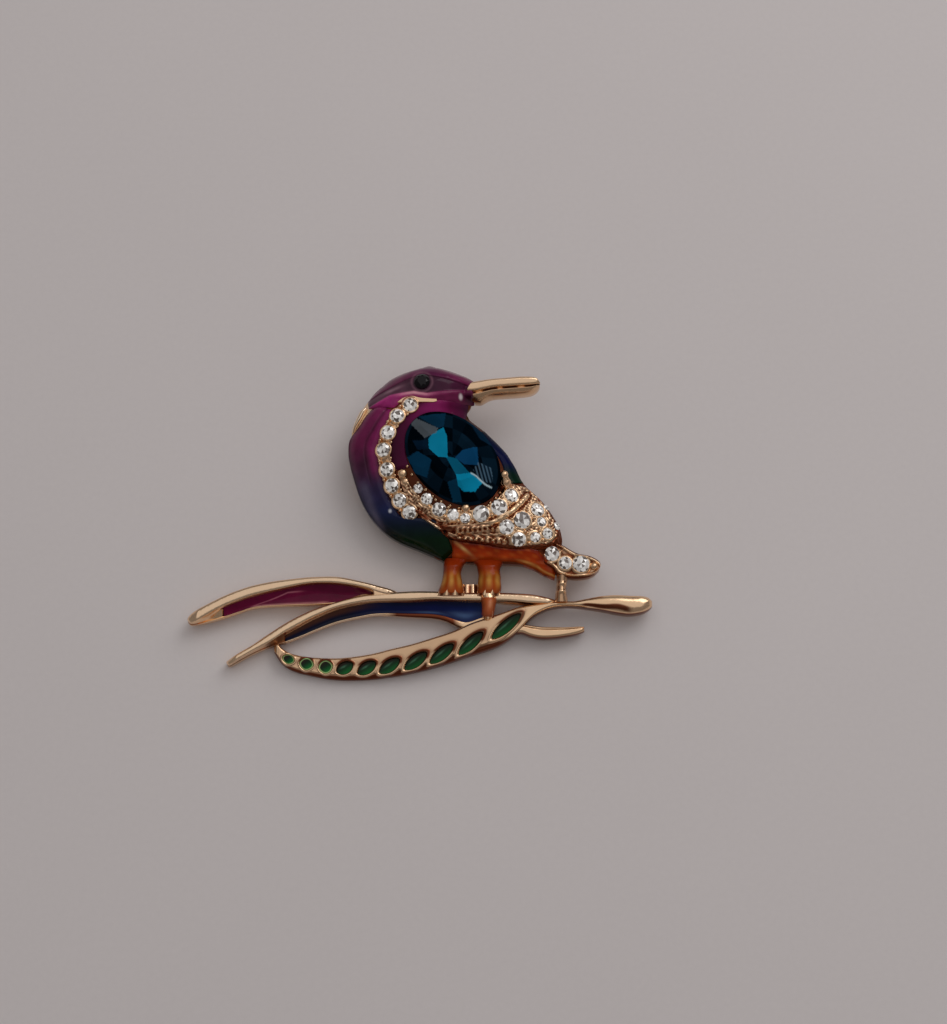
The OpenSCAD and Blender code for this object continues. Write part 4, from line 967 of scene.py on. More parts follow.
# %% Legs and feet
def leg(name, table, ribs=0.0, below=29.5):
    """Round bar through a table, with flutes of height ribs across it where y is under below. The
    flutes are a cosine with three waves across the bar."""
    rows = flowing(table, 12)
    rings = leg_rings(rows, LEG_RISE, ROUND_BAR)
    flutes = np.cos(ROUND_BAR[:, 0] * 6 * math.pi)
    foot = 1 - soft(rows[:, :1], below - 1.5, below)
    rings[..., 2] *= 1 - 0.32 * soft(rows[:, :1], 35, 37.9)
    rings[..., 2] += ribs * foot * flutes * (ROUND_BAR[:, 1] > 0.5)
    # painted shade in the grooves between the flutes
    dark = foot * (0.5 - 0.5 * flutes) * (ribs > 0)
    return cast(name, tube(rings), dark, sharp=70)


leg("leg_left_metal", LEG_LEFT, 0.16)
leg("leg_right_metal", LEG_RIGHT, 0.16)
leg("toe_metal", TOE)
leg("foot_web", FOOT_WEB, 0.08, 31)

# %% Tail post
# Two small collars round the post, as y in hundredths.
POST_COLLARS = (30.3, 27.8)
post_rows = flowing(POST, 12)
post_rings = leg_rings(post_rows, LEG_RISE, ROUND_BAR)
collars = sum(hump(post_rows[:, :1], y, 0.45) for y in POST_COLLARS)
post_rings[..., 2] += 0.16 * collars * (ROUND_BAR[:, 1] > 0.5)
post_dark = 0.4 * (1 - np.clip(collars, 0, 1)) + 0 * ROUND_BAR[:, 0]
cast("tail_post", tube(post_rings), post_dark)

# %% [markdown]
# ## The leaves
#
# Two leaves are bars with a sloping bed of enamel along their lower side. Across each leaf the
# profile reads: thin lip, bed, slope, rounded rim. The five edges of a leaf aren't evenly spaced,
# so the profile's first number counts from edge to edge, 0 to 4, and straight lines between the
# edges give the real places.


# %% Leaf bars
BED_DEEP = 0.35
WEB_UP = 0.96
# Edge number, share of the plate's height, and 1 in the bed. The clip holds the curve to these.
LEAF_PROFILE = np.clip(flowing([
    [0, 0, 0], [0, 0.2, 0], [0.0, 0.36, 0], [0.2, 0.46, 0], [0.6, 0.49, 0], [0.95, 0.45, 0],
    [1.05, 0.44, 1], [1.5, 0.55, 1], [1.95, 0.68, 1], [2.05, 0.71, 0], [2.5, 0.84, 0],
    [2.95, 0.94, 0], [3.1, 0.985, 0], [3.3, 1.01, 0], [3.6, 1.0, 0], [3.85, 0.93, 0],
    [4, 0.8, 0], [4, 0.4, 0], [4, 0, 0]], 4), [0, -1, 0], [4, 2, 1])


def leaf_columns(rows, share):
    """y at a share of 0 to 4 across the leaf's five edges, by straight lines between them."""
    k = np.minimum(share.astype(int), 3)
    t = share - k
    return rows[:, 1 + k] * (1 - t) + rows[:, 2 + k] * t


def leaf_bar(name, table, bed, waves, webbed=0, toned=0):
    """Bar through a leaf's table, its bed sunk by BED_DEEP between the two ends of bed. waves sets
    how closely low waves follow each other along the rim. With webbed, the lower part right of the
    bed is filled up to WEB_UP. Its bed and the slope above it are painted darker as shade and its
    rim top paler as a painted highlight. With toned, its lip gets a painted highlight on the left and
    painted shade on the right, and the part by the bed's left end a painted dark reflection."""
    rows = flowing(table, 14)
    x = rows[:, :1]
    share, up_share, in_bed = LEAF_PROFILE.T
    web = webbed * soft(x, bed[1], bed[1] + 0.6) * soft(up_share, 0.3, 0.44) * (share < 3)
    up_share = up_share + (WEB_UP - up_share) * web
    sunk = span(x, (bed[0] - 0.3, bed[0] + 0.3), (bed[1] - 0.3, bed[1] + 0.3))
    ends = np.sqrt(np.clip(np.minimum(x - x[0], x[-1] - x) / 2.2, 0.02, 1))
    z = PLATE * up_share * (0.45 + 0.55 * ends) - BED_DEEP * sunk * in_bed
    z = z + 0.012 * np.sin(x * waves) * np.sin(x * waves * 0.37 + 1) * soft(up_share, 0.9, 1)
    # painted shade on the slope above the bed and painted highlight on the rim top
    slope = span(share, (2.0, 2.3), (2.7, 3.05))
    dark = np.clip(sunk * (0.5 * slope + in_bed), 0, 1) - 0.25 * soft(up_share, 0.88, 0.98) * (1 - web)
    lip = soft(up_share, 0.3, 0.4) * (share < 1)
    tip = span(x, (bed[0] - 5, bed[0] - 3), (bed[0], bed[0] + 0.5)) * (share < 2.9)
    tones = lip * (span(x, (42, 46), (56, 60)) - 0.5 * span(x, (20, 22), (40, 44))) + 0.6 * tip
    places = at(x + 0 * share, leaf_columns(rows, share))
    return cast(name, tube(raised(places, z)), dark + toned * tones, sharp=60)


leaf_bar("leaf_upper_bar", LEAF_UPPER, UPPER_BED, 6.1, webbed=1)
leaf_bar("leaf_middle_bar", LEAF_MIDDLE, MIDDLE_BED, 4.3, toned=1)

# %% [markdown]
# ## The branch and the twig
#
# The lowest branch is a flat bar pierced by ten enamel cells, each a pointed oval with a fine
# raised border. Cutting ten holes into a mesh would leave rough edges, so the bar is one fine
# grid, and the distance to the nearest cell's outline lowers it inside and lifts it at the border.


# %% Flat bars and cells
SHOULDER = 0.45
SHOULDER_LOW = 0.66
CELL_DEEP = 0.5
BORDER_HIGH = 0.09
LOW_SIDE_DIP = 0.3


def cell_edge(p, row):
    """Signed distance, roughly in mm, from a cell's outline: a pointed oval in its own turned
    axes, sqrt(u^2 + v^1.5) = 1 for u and v in halves of its length and width."""
    x, y, long, wide, slant = row
    half_l, half_w = CELL_LONG * long / 2, CELL_WIDE * wide / 2
    d = p - at(x, y)
    c, s = math.cos(math.radians(slant)), math.sin(math.radians(slant))
    u = np.abs(d[..., 0] * c + d[..., 1] * s) / half_l
    v = np.abs(d[..., 1] * c - d[..., 0] * s) / half_w
    return (np.sqrt(u**2 + v**1.5) - 1) * half_w


def bar_relief(table, columns, steps, knob=0):
    """Grid over a flat bar: y between its two edges, height falling off roundly at both. With knob
    its right end is round all the way across. Returns places, heights, shares across and rows."""
    rows = flowing(table, steps)
    v = 0.5 - 0.5 * np.cos(np.linspace(0, math.pi, columns))
    v = 0.6 * v + 0.4 * np.linspace(0, 1, columns)
    low, top = at(rows[:, 0], rows[:, 1]), at(rows[:, 0], rows[:, 2])
    places = low[:, None] + (top - low)[:, None] * v[:, None]
    width = np.linalg.norm(top - low, axis=1)[:, None]
    along = np.minimum(rows[:, 0] - rows[0, 0], rows[-1, 0] - rows[:, 0])[:, None] * WIDTH / 100
    from_edge = np.minimum(np.minimum(v, 1 - v) * width, along + 0.05)
    round_part = knob * soft(rows[:, :1], 81, 88)
    shoulder = np.clip(from_edge / (SHOULDER + (width / 2 - SHOULDER) * round_part), 0, 1)
    z = rows[:, 3:4] * PLATE * (SHOULDER_LOW + (1 - SHOULDER_LOW) * np.sqrt(1 - (1 - shoulder) ** 2))
    return places, z, v, rows


branch_places, branch_z, branch_v, branch_rows = bar_relief(BRANCH, 72, 27, knob=1)
branch_x = branch_rows[:, :1]
cell_gap = np.min([cell_edge(branch_places, row) for row in CELLS], axis=0)
lower_dip = (1 - soft(branch_v, 0.1, 0.24)) * soft(cell_gap, 0.14, 0.26) * (1 - soft(branch_x, 66, 70))
branch_z = branch_z - CELL_DEEP * (1 - soft(cell_gap, -0.12, 0.0)) - LOW_SIDE_DIP * lower_dip
branch_top = raised(branch_places, branch_z + BORDER_HIGH * hump(cell_gap, 0.09, 0.07))
print("points of the branch:", branch_z.size)

# %% Branch: painted light and shade on the gold
# a painted dark reflection along the knob, mottled; painted shade in hollows and cells, on the bar's lower
# side and along the upper edge of each cell
wavy_middle = 0.28 + 0.05 * np.sin(branch_x * 0.9)
reflection_streak = np.exp(-(((branch_v - wavy_middle) / 0.15) ** 4)) * span(branch_x, (84, 86), (94, 96.2))
rough = np.sin(branch_x * 23 + branch_v * 31) * np.sin(branch_x * 11 - branch_v * 57)
branch_dark = hollows(branch_top, 4, 0.12) + (cell_gap < -0.05) + (1.1 + 0.5 * rough) * reflection_streak
low_side_shade = np.clip(1 - soft(branch_v, 0.01, 0.09) + 0.8 * lower_dip, 0, 1)
shade_over_cells = np.max([
    hump(cell_edge(branch_places, row), 0.08, 0.12) * soft(branch_places[..., 1] - at(0, row[1])[1], 0, 0.5)
    for row in CELLS[1:]], axis=0)
branch_dark = np.maximum(np.clip(branch_dark, 0, 1.4), low_side_shade + 0.7 * shade_over_cells)
# the gold on the branch's left part is darker
branch_dark = branch_dark + 0.24 * (1 - soft(branch_x, 60, 80))
cast("branch_bar", relief(branch_top, floor=0.0), branch_dark, sharp=70)

# %% Twig
twig_places, twig_z, twig_v, _ = bar_relief(TWIG, 30, 14)
twig_top = raised(twig_places, twig_z - 0.14 * hump(twig_v, 0.78, 0.06))
# painted shade in hollows and along the twig's lower side
twig_dark = np.maximum(hollows(twig_top, 3, 0.1), 0.9 * (1 - soft(twig_v, 0.04, 0.2)))
cast("twig_bar", relief(twig_top, floor=0.0), twig_dark, sharp=70)

# %% [markdown]
# ## Enamel
#
# Each enamel field is a strip of glass-like paint that swells a little between its metal edges.
# Colours run along and across it, so they are worked out for every point and kept on the mesh,
# some of them painted highlights, reflections and shade, and one material serves all fields: the
# kept colour under a clear coat, with faint clouds.


# %% Enamel material
def enamel_material(name, clouds=0.35, shine=0.2):
    """Glossy enamel: the mesh's own colour times soft clouds, under a thin clear coat."""
    material, inputs, places = new_material(
        name, Coat_Weight=shine, Coat_Roughness=0.04, IOR=1.5, Specular_IOR_Level=shine / 3)
    cloud = speckle(places, 700, 3)
    shade = (cloud - 0.5) * clouds + 1.0
    tint = stored(places, "tint", "Color")
    both = cloud.into("ShaderNodeVectorMath", {"operation": "SCALE"}, {0: tint, "Scale": shade})
    plug(inputs["Base Color"], both)
    plug(inputs["Roughness"], cloud * 0.1 + 0.12)
    bumped(inputs, speckle(places, 520, 1) * 1.4 + cloud * 0.4, 0.00004, 0.6)
    return material


ENAMEL_CLOUDS = {"purple_enamel": 0.9, "breast_enamel": 0.9, "blue_enamel": 0.5,
                 "red_enamel": 0.9, "orange_enamel": 0.9, "green_enamel": 0.5}
enamel = {name: enamel_material(name, clouds=clouds) for name, clouds in ENAMEL_CLOUDS.items()}
dark_enamel = enamel_material("dark_enamel", shine=0.06)
print("enamels:", len(enamel) + 1)


# %% Colours that are kept on a mesh
def mixed(value, stops):
    """Colours for an array of values, by straight lines between (value, screen colour) stops."""
    places = [s[0] for s in stops]
    tints = np.array([screen(*s[1]) for s in stops])
    return np.stack([np.interp(value, places, tints[:, k]) for k in range(3)], -1)


def toward(tint, share, colour):
    """tint moved by a share towards one screen colour."""
    return tint + (screen(*colour) - tint) * np.asarray(share)[..., None]


def touched(tint, *touches):
    """tint with touches laid over it in turn. Each is a share for every point, a strength that
    multiplies it, and a screen colour."""
    for share, strength, colour in touches:
        tint = toward(tint, strength * share, colour)
    return tint


print("half way from black to white:", toward(np.zeros(3), 0.5, (255, 255, 255)))

# %% [markdown]
# ## Strips of enamel on the dome
#
# Enamel is poured into low fields and rises to a soft skin when it melts. A plain copy of the dome
# would look like paint, so every strip swells between its two edges and goes down at its ends. On
# the outline of the bird it also turns down over the side, as the real enamel does.


# %% Strips of enamel on the dome
END_SHARE = 0.04
FOLD_OUT = 0.13
FOLD_STEPS = 7


def swollen(table, columns, swell, edges, steps, wider, wrap=0):
    """Strip on the dome that rises by swell * (1 - (2v-1)^4) between the two edge heights, and
    whose two ends go down to the lower of them. wider moves its two edges outwards in mm. With
    wrap -1 or 1 its outer or inner edge also turns down over the side of the body: further out
    by FOLD_OUT times sin and lower by a share of 1 - cos, for an angle up to a right angle."""
    places, v = strip(table, columns, steps)
    way = places[:, -1:] - places[:, :1]
    way = way / np.maximum(np.linalg.norm(way, axis=-1, keepdims=True), 1e-6)
    places = places + way * (wider[1] * v - wider[0] * (1 - v))[..., None]
    u = np.linspace(0, 1, len(places))[:, None]
    body = edges[0] + (edges[1] - edges[0]) * v + swell * (1 - (2 * v - 1) ** 4)
    tip = span(u, (0, END_SHARE), (1 - END_SHARE, 1))
    z = body_z(places) + min(edges) + (body[None] - min(edges)) * tip
    top, v = raised(places, z), v[None] + 0 * u
    if not wrap:
        return top, v
    edge = 0 if wrap < 0 else -1
    angle = np.linspace(0, math.pi / 2, FOLD_STEPS + 1)[1:]
    fold = np.repeat(top[:, edge][:, None], FOLD_STEPS, 1)
    fold[..., :2] += wrap * way * FOLD_OUT * np.sin(angle)[:, None]
    fold[..., 2] *= 0.25 + 0.75 * np.cos(angle)
    fold_v = np.repeat(v[:, edge][:, None], FOLD_STEPS, 1)
    if wrap < 0:
        return np.concatenate([fold[:, ::-1], top], 1), np.concatenate([fold_v, v], 1)
    return np.concatenate([top, fold], 1), np.concatenate([v, fold_v], 1)


def fill(name, top, tint, material, slot, node, thick=0.6):
    """Enamel piece: the grid, a copy of it lower down by thick mm, and the same colours on both."""
    under = top.copy()
    under[..., 2] = np.maximum(under[..., 2] - thick, 0.05)
    both = np.tile(tint.reshape(-1, 3), (2, 1))
    return piece(name, slab(top, under), material, slot, [node], sharp=80, tint=both)


print("strips and filling ready")

# %% [markdown]
# ## The head
#
# The head is purple all over, with a darker band that runs through the eye, and the cheek below
# the band catches a pale line of light. The band lies a little lower than the crown and the cheek,
# so its two edges are curves in the drawing that steer the height and the colour alike.

# %% Head: shape
BAND_DIP = 0.22
CHEEK_RIDGE = 0.12
NECK_HIGH = 3.0
head_top, _ = swollen(HEAD, 70, 0.42, (0.05, 0.12), 16, wrap=-1, wider=(0.05, 0.35))
hx, hy = shares_of(head_top)
mask_high = np.interp(hx, [38, 41.0, 47.5, 50.4, 55.6, 61.3], [88.2, 90.6, 94.8, 96.1, 94.8, 92.9])
mask_low = np.interp(hx, [38, 43.4, 48.6, 51.5, 57.1, 61.3], [85.6, 89.5, 90.4, 89.8, 91.1, 92.0])
crown = soft(hy - mask_high, -0.3, 0.3)
cheek = 1 - soft(hy - mask_low, -0.3, 0.3)
mask = (1 - crown) * (1 - cheek)
neck = soft(hx, 54.5, 60.5) * span(hy, (87, 90), (92.5, 96)) * (1 - 0.3 * soft(hx, 61, 62))
head_top[..., 2] = np.maximum(head_top[..., 2], NECK_HIGH * neck)
head_top[..., 2] += CHEEK_RIDGE * hump(hy - mask_low, -1.1, 0.7) - BAND_DIP * mask
print("points of the head:", hx.size)

# %% Head: colours
CROWN_STOPS = [(38, (112, 44, 84)), (45, (104, 44, 76)), (52, (96, 34, 74)), (61, (116, 34, 78))]
MASK_STOPS = [(38, (100, 62, 82)), (46, (84, 50, 68)), (50, (56, 26, 46)), (61, (84, 30, 62))]
CHEEK_STOPS = [(44, (168, 48, 120)), (48, (172, 56, 120)), (55, (126, 38, 84)), (61, (120, 36, 78))]
head_tint = mixed(hx, CROWN_STOPS)
for share, stops in ((mask, MASK_STOPS), (cheek, CHEEK_STOPS)):
    head_tint = head_tint + (mixed(hx, stops) - head_tint) * share[..., None]
sheen = hump(hx, 43.8, 2.2) * hump(hy - 0.5 * (hx - 43.8), 91.2, 0.6)
cheek_highlight = hump(hx, 48.8, 3.0) * hump(hy - mask_low, -0.5, 0.55)
eye_ring = hump(away_from(head_top[..., :2], *EYE), 1.3, 0.14)
beak_shade = hump(hx, 60.6, 1.9) * hump(hy, 89.2, 1.9)
# the sheen on the band, the pale line on the cheek and the white dot by the beak are painted highlights
head_tint = touched(
    head_tint,
    (sheen, 0.7, (164, 128, 142)),
    (cheek_highlight, 0.85, (236, 172, 182)),
    (eye_ring, 0.8, (120, 78, 96)),
    (beak_shade, 0.85, (52, 10, 38)),
    (dot(hx, hy, (58.8, 89.3), (0.42, 0.95)), 0.9, (244, 228, 232)))
fill("head_enamel", head_top, head_tint, enamel["purple_enamel"], "purple_enamel", "enamel_head")

# %% [markdown]
# ## Breast, throat and flank
#
# On the breast the enamel runs from purple through blue to green, all in one field: the maker lets
# three colours flow into each other before they set. Stops along the height give that, and a few
# soft touches add a crease painted darker as shade, a brighter stripe next to the collar, a pale
# slate streak and one white speck as painted highlights, and painted shade where the outer edge
# turns down.

# %% Breast
BREAST_STEPS = 14
BREAST_STOPS = [
    (38, (10, 36, 14)), (44, (8, 38, 18)), (48, (16, 30, 46)), (53, (34, 42, 84)),
    (60, (58, 46, 82)), (67, (92, 40, 74)), (74, (114, 34, 78)), (86, (126, 40, 88))]
breast_u = np.linspace(0, 1, (len(BREAST) - 1) * BREAST_STEPS + 1)[:, None]
breast_in = 0.7 + 0.5 * soft(breast_u, 0.66, 0.74)
breast_top, breast_v = swollen(BREAST, 60, 0.5, (0.1, 0.04), BREAST_STEPS, wrap=-1, wider=(0.05, breast_in))
bx, by = shares_of(breast_top)
crease = hump(breast_v, 0.56, 0.06) * soft(by, 58, 64)
stripe = hump(breast_v, 0.8, 0.14) * soft(by, 61, 67)
blotch = hump(bx, 37.5, 1.3) * hump(by, 67.4, 3.0)
slate_highlight = hump(bx, np.interp(by, [47.3, 55.2, 61.8], [41.5, 39.3, 37.8]), 0.9) * span(by, (44, 48), (60, 64))
breast_top[..., 2] -= 0.1 * crease
# painted shade in the crease and on the outer edge; painted highlights in the slate streak and the white
# speck
breast_tint = touched(
    mixed(by, BREAST_STOPS),
    (stripe, 0.7, (138, 34, 96)),
    (crease, 0.4, (36, 12, 26)),
    (blotch, 0.6, (46, 24, 40)),
    (slate_highlight, 0.6, (104, 98, 122)),
    (1 - soft(breast_v, 0.0, 0.12), 0.45, (20, 10, 22)),
    (dot(bx, by, (43.6, 52.7), (0.36, 0.6)), 0.85, (226, 230, 240)))
fill("breast_enamel", breast_top, breast_tint, enamel["breast_enamel"], "breast_enamel", "enamel_breast")

# %% Throat and flank
THROAT_STOPS = [
    (44, (66, 18, 44)), (47, (82, 22, 56)), (52, (138, 34, 98)),
    (54, (148, 38, 102)), (56.5, (104, 23, 68)), (60, (78, 30, 60))]
FLANK_STOPS = [
    (61, (10, 44, 26)), (65, (10, 36, 28)), (69, (16, 20, 66)), (74, (18, 24, 58)), (79, (14, 22, 34))]
throat_top, throat_v = swollen(THROAT, 24, 0.2, (0.05, 0.05), 14, wider=(0.6, 0.6))
tx, _ = shares_of(throat_top)
# painted shade beside the collar
collar_shade = (1 - soft(throat_v, 0.1, 0.5)) * (1 - soft(tx, 49, 53))
throat_tint = touched(mixed(tx, THROAT_STOPS), (collar_shade, 0.8, (56, 16, 38)))
fill("throat_enamel", throat_top, throat_tint, dark_enamel, "purple_enamel", "enamel_throat")
flank_top, _ = swollen(FLANK, 24, 0.3, (0.1, -0.15), 14, wrap=-1, wider=(0.05, 0.4))
_, fy = shares_of(flank_top)
fill("flank_enamel", flank_top, mixed(fy, FLANK_STOPS), dark_enamel, "blue_enamel", "enamel_flank")

# %% [markdown]
# ## Belly and legs
#
# The orange enamel lies over ribs of the casting, which show through it as paler ridges with
# highlights on them; ridges and highlights are painted, colour alone here, because they are too
# low to change the outline. On the legs the enamel is a rounded strip over the metal that ends
# above the toes, painted darker at its two sides as shade.

# %% Belly
BELLY_STOPS = [(0, (100, 22, 4)), (0.3, (160, 46, 8)), (0.7, (188, 66, 14)), (1, (160, 60, 14))]
belly_top, belly_v = swollen(BELLY, 30, 0.25, (0.12, 0.05), 14, wrap=1, wider=(0.5, 0.3))
px, py = shares_of(belly_top)
# a painted reflection along the belly's lower edge
low_reflection = hump(belly_v, 0.86, 0.07) * soft(px, 70, 73)
sliver = hump(px + 0.45 * (py - 41.0), 59.4, 0.9) * hump(py + 0.9 * (px - 59.4), 41.0, 0.6)
patches = np.clip(np.sin(px * 1.9 + 0.7) * np.sin(py * 2.3 + px * 0.8), 0, 1)
belly_tint = touched(
    mixed(belly_v, BELLY_STOPS),
    (low_reflection, 0.8, (232, 170, 90)),
    (sliver, 0.9, (236, 190, 120)),
    (patches, 0.45, (206, 100, 36)))
fill("belly_enamel", belly_top, belly_tint, enamel["orange_enamel"], "orange_enamel", "enamel_belly")

# %% Enamel on the legs
LEG_STOPS = [
    (19, (176, 88, 52)), (25, (186, 92, 46)), (29, (170, 70, 16)), (32, (178, 84, 18)),
    (34.5, (156, 54, 12)), (38, (150, 46, 10))]
LEG_STEPS = 40


def leg_enamel(name, table, top_y, low_y, node):
    """Rounded strip on a leg between two heights of the drawing, a little over the metal: a half
    round 0.58 + 0.45 sqrt(1 - (2s - 1)^2) across it, for s from 0 at the left to 1."""
    rows = flowing(table, 12)
    y = np.linspace(top_y, low_y, LEG_STEPS)
    left, right, high = (np.interp(-y, -rows[:, 0], rows[:, k]) for k in (1, 2, 3))
    s = np.linspace(-0.02, 1.02, 30)
    places = at(left, y)[:, None] + (at(right, y) - at(left, y))[:, None] * s[:, None]
    y = y[:, None]
    round_top = 0.58 + 0.45 * np.sqrt(np.clip(1 - (2 * s - 1) ** 2, 0, 1))
    last_part = np.sqrt(np.clip((LEG_STEPS - 1 - np.arange(LEG_STEPS)) / 4, 0.0, 1))[:, None]
    z = (high[:, None] * LEG_RISE * round_top - 0.08 + 0.16 * last_part) * (1 - 0.3 * soft(y, 35.4, 38.4))
    # paler ribs with painted highlights round the leg, and painted shade at both sides of the strip
    tint = touched(
        mixed(y + 0 * z, LEG_STOPS),
        (hump(y, 31.0, 2.0) * (0.5 + 0.5 * np.cos((s - 0.08) * 5 * math.pi)), 0.7, (236, 178, 84)),
        (hump(y, 23.4, 1.3) * hump(s, 0.62, 0.16), 0.6, (232, 164, 118)),
        (np.abs(2 * s - 1) ** 3 + 0 * y, 0.5, (84, 26, 6)))
    fill(name, raised(places, z), tint, enamel["orange_enamel"], "orange_enamel", node, thick=0.4)


leg_enamel("leg_left_enamel", LEG_LEFT, 38.4, 27.1, "enamel_leg_left")
leg_enamel("leg_right_enamel", LEG_RIGHT, 38.4, 27.1, "enamel_leg_right")
leg_enamel("toe_enamel", TOE, 25.6, 19.6, "enamel_toe")

# %% [markdown]
# ## Enamel in the leaves
#
# One leaf is filled with maroon and one with navy. Both beds are the same kind of dished strip, so
# one function pours them, and it takes the colours from a function of x and of the share across.


# %% Enamel in the leaves
def leaf_enamel(name, table, bed, node, slot, bed_colours):
    """Enamel in a leaf's bed: from the bed's lower edge up to its upper edge, dished by 0.1 mm."""
    rows = flowing(table, 14)
    x = np.linspace(bed[0] + 0.1, bed[1] - 0.1, 220)
    low, high = (np.interp(x, rows[:, 0], rows[:, k])[:, None] for k in (2, 3))
    x = x[:, None]
    v = np.linspace(-0.04, 1.04, 28)
    places = at(x + 0 * v, low + (high - low) * v)
    z = PLATE * (0.45 + 0.25 * v) - 0.04 - 0.1 * (1 - (2 * v - 1) ** 2)
    tint, lift = bed_colours(x + 0 * v, v + 0 * x)
    return fill(name, raised(places, z + lift), tint, enamel[slot], slot, node, thick=0.3)


def red_bed(x, v):
    """Maroon, with a bent crease from the bed's left end to its right end, painted darker above it as
    shade, with painted highlights along the crease and the lower lip. Also gives how much the part
    under the crease is lifted, in mm."""
    crease = np.interp(x, [7.7, 14.5, 21.5, 30, 38], [0.05, 0.12, 0.78, 0.62, 0.4])
    over = soft(v - crease, -0.03, 0.03)
    tint = touched(
        mixed(x, [(7, (108, 6, 54)), (16, (112, 10, 58)), (26, (104, 10, 54)), (38, (96, 14, 52))]),
        (over * soft(x, 16, 24), 0.3, (72, 6, 36)),
        (hump(v, crease, 0.045) * span(x, (13, 15), (22, 26)), 0.8, (196, 110, 130)),
        (hump(v, 0, 0.07) * span(x, (13, 15), (29, 31)), 0.8, (206, 140, 140)))
    return tint, 0.1 * (1 - over) * (1 - soft(x, 18, 26))


def blue_bed(x, v):
    """Navy that grows more blue to the right, with a brown upper part on the left, painted shade
    under the rim on the right, painted highlights low on the right, and no lift.
    """
    light = hump(x, 59.5, 2.4) * hump(v, 0.32, 0.16) + 0.8 * hump(x, 52, 3.2) * hump(v, 0.12, 0.08)
    tint = touched(
        mixed(x, [(21, (16, 20, 48)), (34, (12, 16, 40)), (42, (14, 22, 68)), (52, (12, 22, 74)),
                  (60, (14, 30, 86)), (63, (24, 46, 104))]),
        (soft(v, 0.3, 0.8) * (1 - soft(x, 32, 44)), 0.9, (80, 46, 34)),
        (soft(v, 0.55, 0.95) * soft(x, 38, 46), 0.7, (6, 10, 34)),
        (light, 0.5, (92, 128, 178)))
    return tint, 0 * x


leaf_enamel("leaf_upper_enamel", LEAF_UPPER, UPPER_BED, "enamel_leaf_red", "red_enamel", red_bed)
leaf_enamel("leaf_middle_enamel", LEAF_MIDDLE, MIDDLE_BED, "enamel_leaf_blue", "blue_enamel", blue_bed)

# %% [markdown]
# ## The green cells
#
# Each of the ten cells holds a drop of clear green over the metal floor, painted bright on the side
# that faces the light and nearly black on the other, with painted highlights at its rim. A drop is
# a set of rings that shrink to a point, pinched at the two tips of the oval, and one function
# closes it with a wall and a floor.


# %% Drops of enamel in the cells
# green by the side of the cell: painted light on the lower side, painted shade up to brown on the upper side
GREEN_STOPS = [
    (-0.5, (22, 136, 58)), (-0.25, (12, 96, 40)), (0.0, (6, 52, 22)), (0.2, (18, 26, 10)),
    (0.5, (52, 28, 12))]
SMALL_CELLS = 3
RAYS = np.linspace(0, 2 * math.pi, 49)
RINGS = np.linspace(0, 1, 9)[:, None] ** 0.7
PINCH = np.abs(np.sin(RAYS)) ** 0.35


def from_centre(grid):
    """Values of rings in the order of a drop's points: all rings, the centre, the last ring."""
    return np.concatenate([grid[1:].reshape(-1, 3), grid[:1, 0], grid[-1]])


def drop_shell(rings, wall):
    """Closed shell: a fan round the centre, quads between the rings, and a wall down from the last
    ring to a flat face wall mm lower."""
    points = from_centre(rings)
    count = rings.shape[1]
    points[-count:, 2] -= wall
    grid = np.arange((len(rings) - 1) * count).reshape(-1, count)
    closed = np.concatenate([grid, grid[:, :1]], 1)
    outer = grid[-1]
    foot = grid.size + 1 + np.arange(count)
    return points, [quads(closed),
                    np.stack([np.roll(grid[0], -1), grid[0], np.full(count, grid.size)], -1),
                    np.stack([np.roll(foot, -1), foot, outer, np.roll(outer, -1)], -1),
                    foot[None]]


for number, (x, y, long, wide, slant) in enumerate(CELLS, 1):
    small = number <= SMALL_CELLS
    half_l, half_w = CELL_LONG * long / 2 + 0.03, CELL_WIDE * wide / 2 + 0.03
    u, w = RINGS * half_l * np.cos(RAYS), RINGS * half_w * np.sin(RAYS) * PINCH
    c, s = math.cos(math.radians(slant)), math.sin(math.radians(slant))
    places = at(x, y) + np.stack([u * c - w * s, u * s + w * c], -1)
    bar_top = PLATE * np.interp(x, branch_rows[:, 0], branch_rows[:, 3])
    z = bar_top - 0.34 + 0.16 * small + 0.1 * (1 - RINGS**2)
    away_x, away_y = np.moveaxis(places - at(x, y), -1, 0)
    side = (away_y - 0.6 * away_x) / (half_w + half_l)
    ring_light = soft(RINGS, 0.72, 0.84) if small else soft(RINGS, 0.88, 1.0) * (side < 0) * 0.6
    gleam = hump(u / half_l, -0.1, 0.35) * hump(w / half_w, 0.25, 0.12) * (not small)
    # the pale ring and the gleam are painted highlights
    tint = touched(
        mixed(side, GREEN_STOPS),
        (ring_light + 0 * u, 1, (178, 216, 142)),
        (gleam, 0.35, (120, 190, 150)))
    piece(f"cell_enamel_{number}", drop_shell(raised(places, z)[:, :-1], 0.25), enamel["green_enamel"],
          "green_enamel", [f"enamel_cell_{number}"], sharp=80, tint=from_centre(tint[:, :-1]))

# %% [markdown]
# ## Small stones
#
# The clear stones are cut glass with foil behind them. From above, each shows a flat table, a
# ring of star facets and a ring of kites, some bright and some dark. Every facet is one flat
# face with its own painted grey, a painted reflection, so the sparkle stays when the stone turns,
# and the whitest facets glow a little: painted light that stands for what the foil behind them
# sends back.


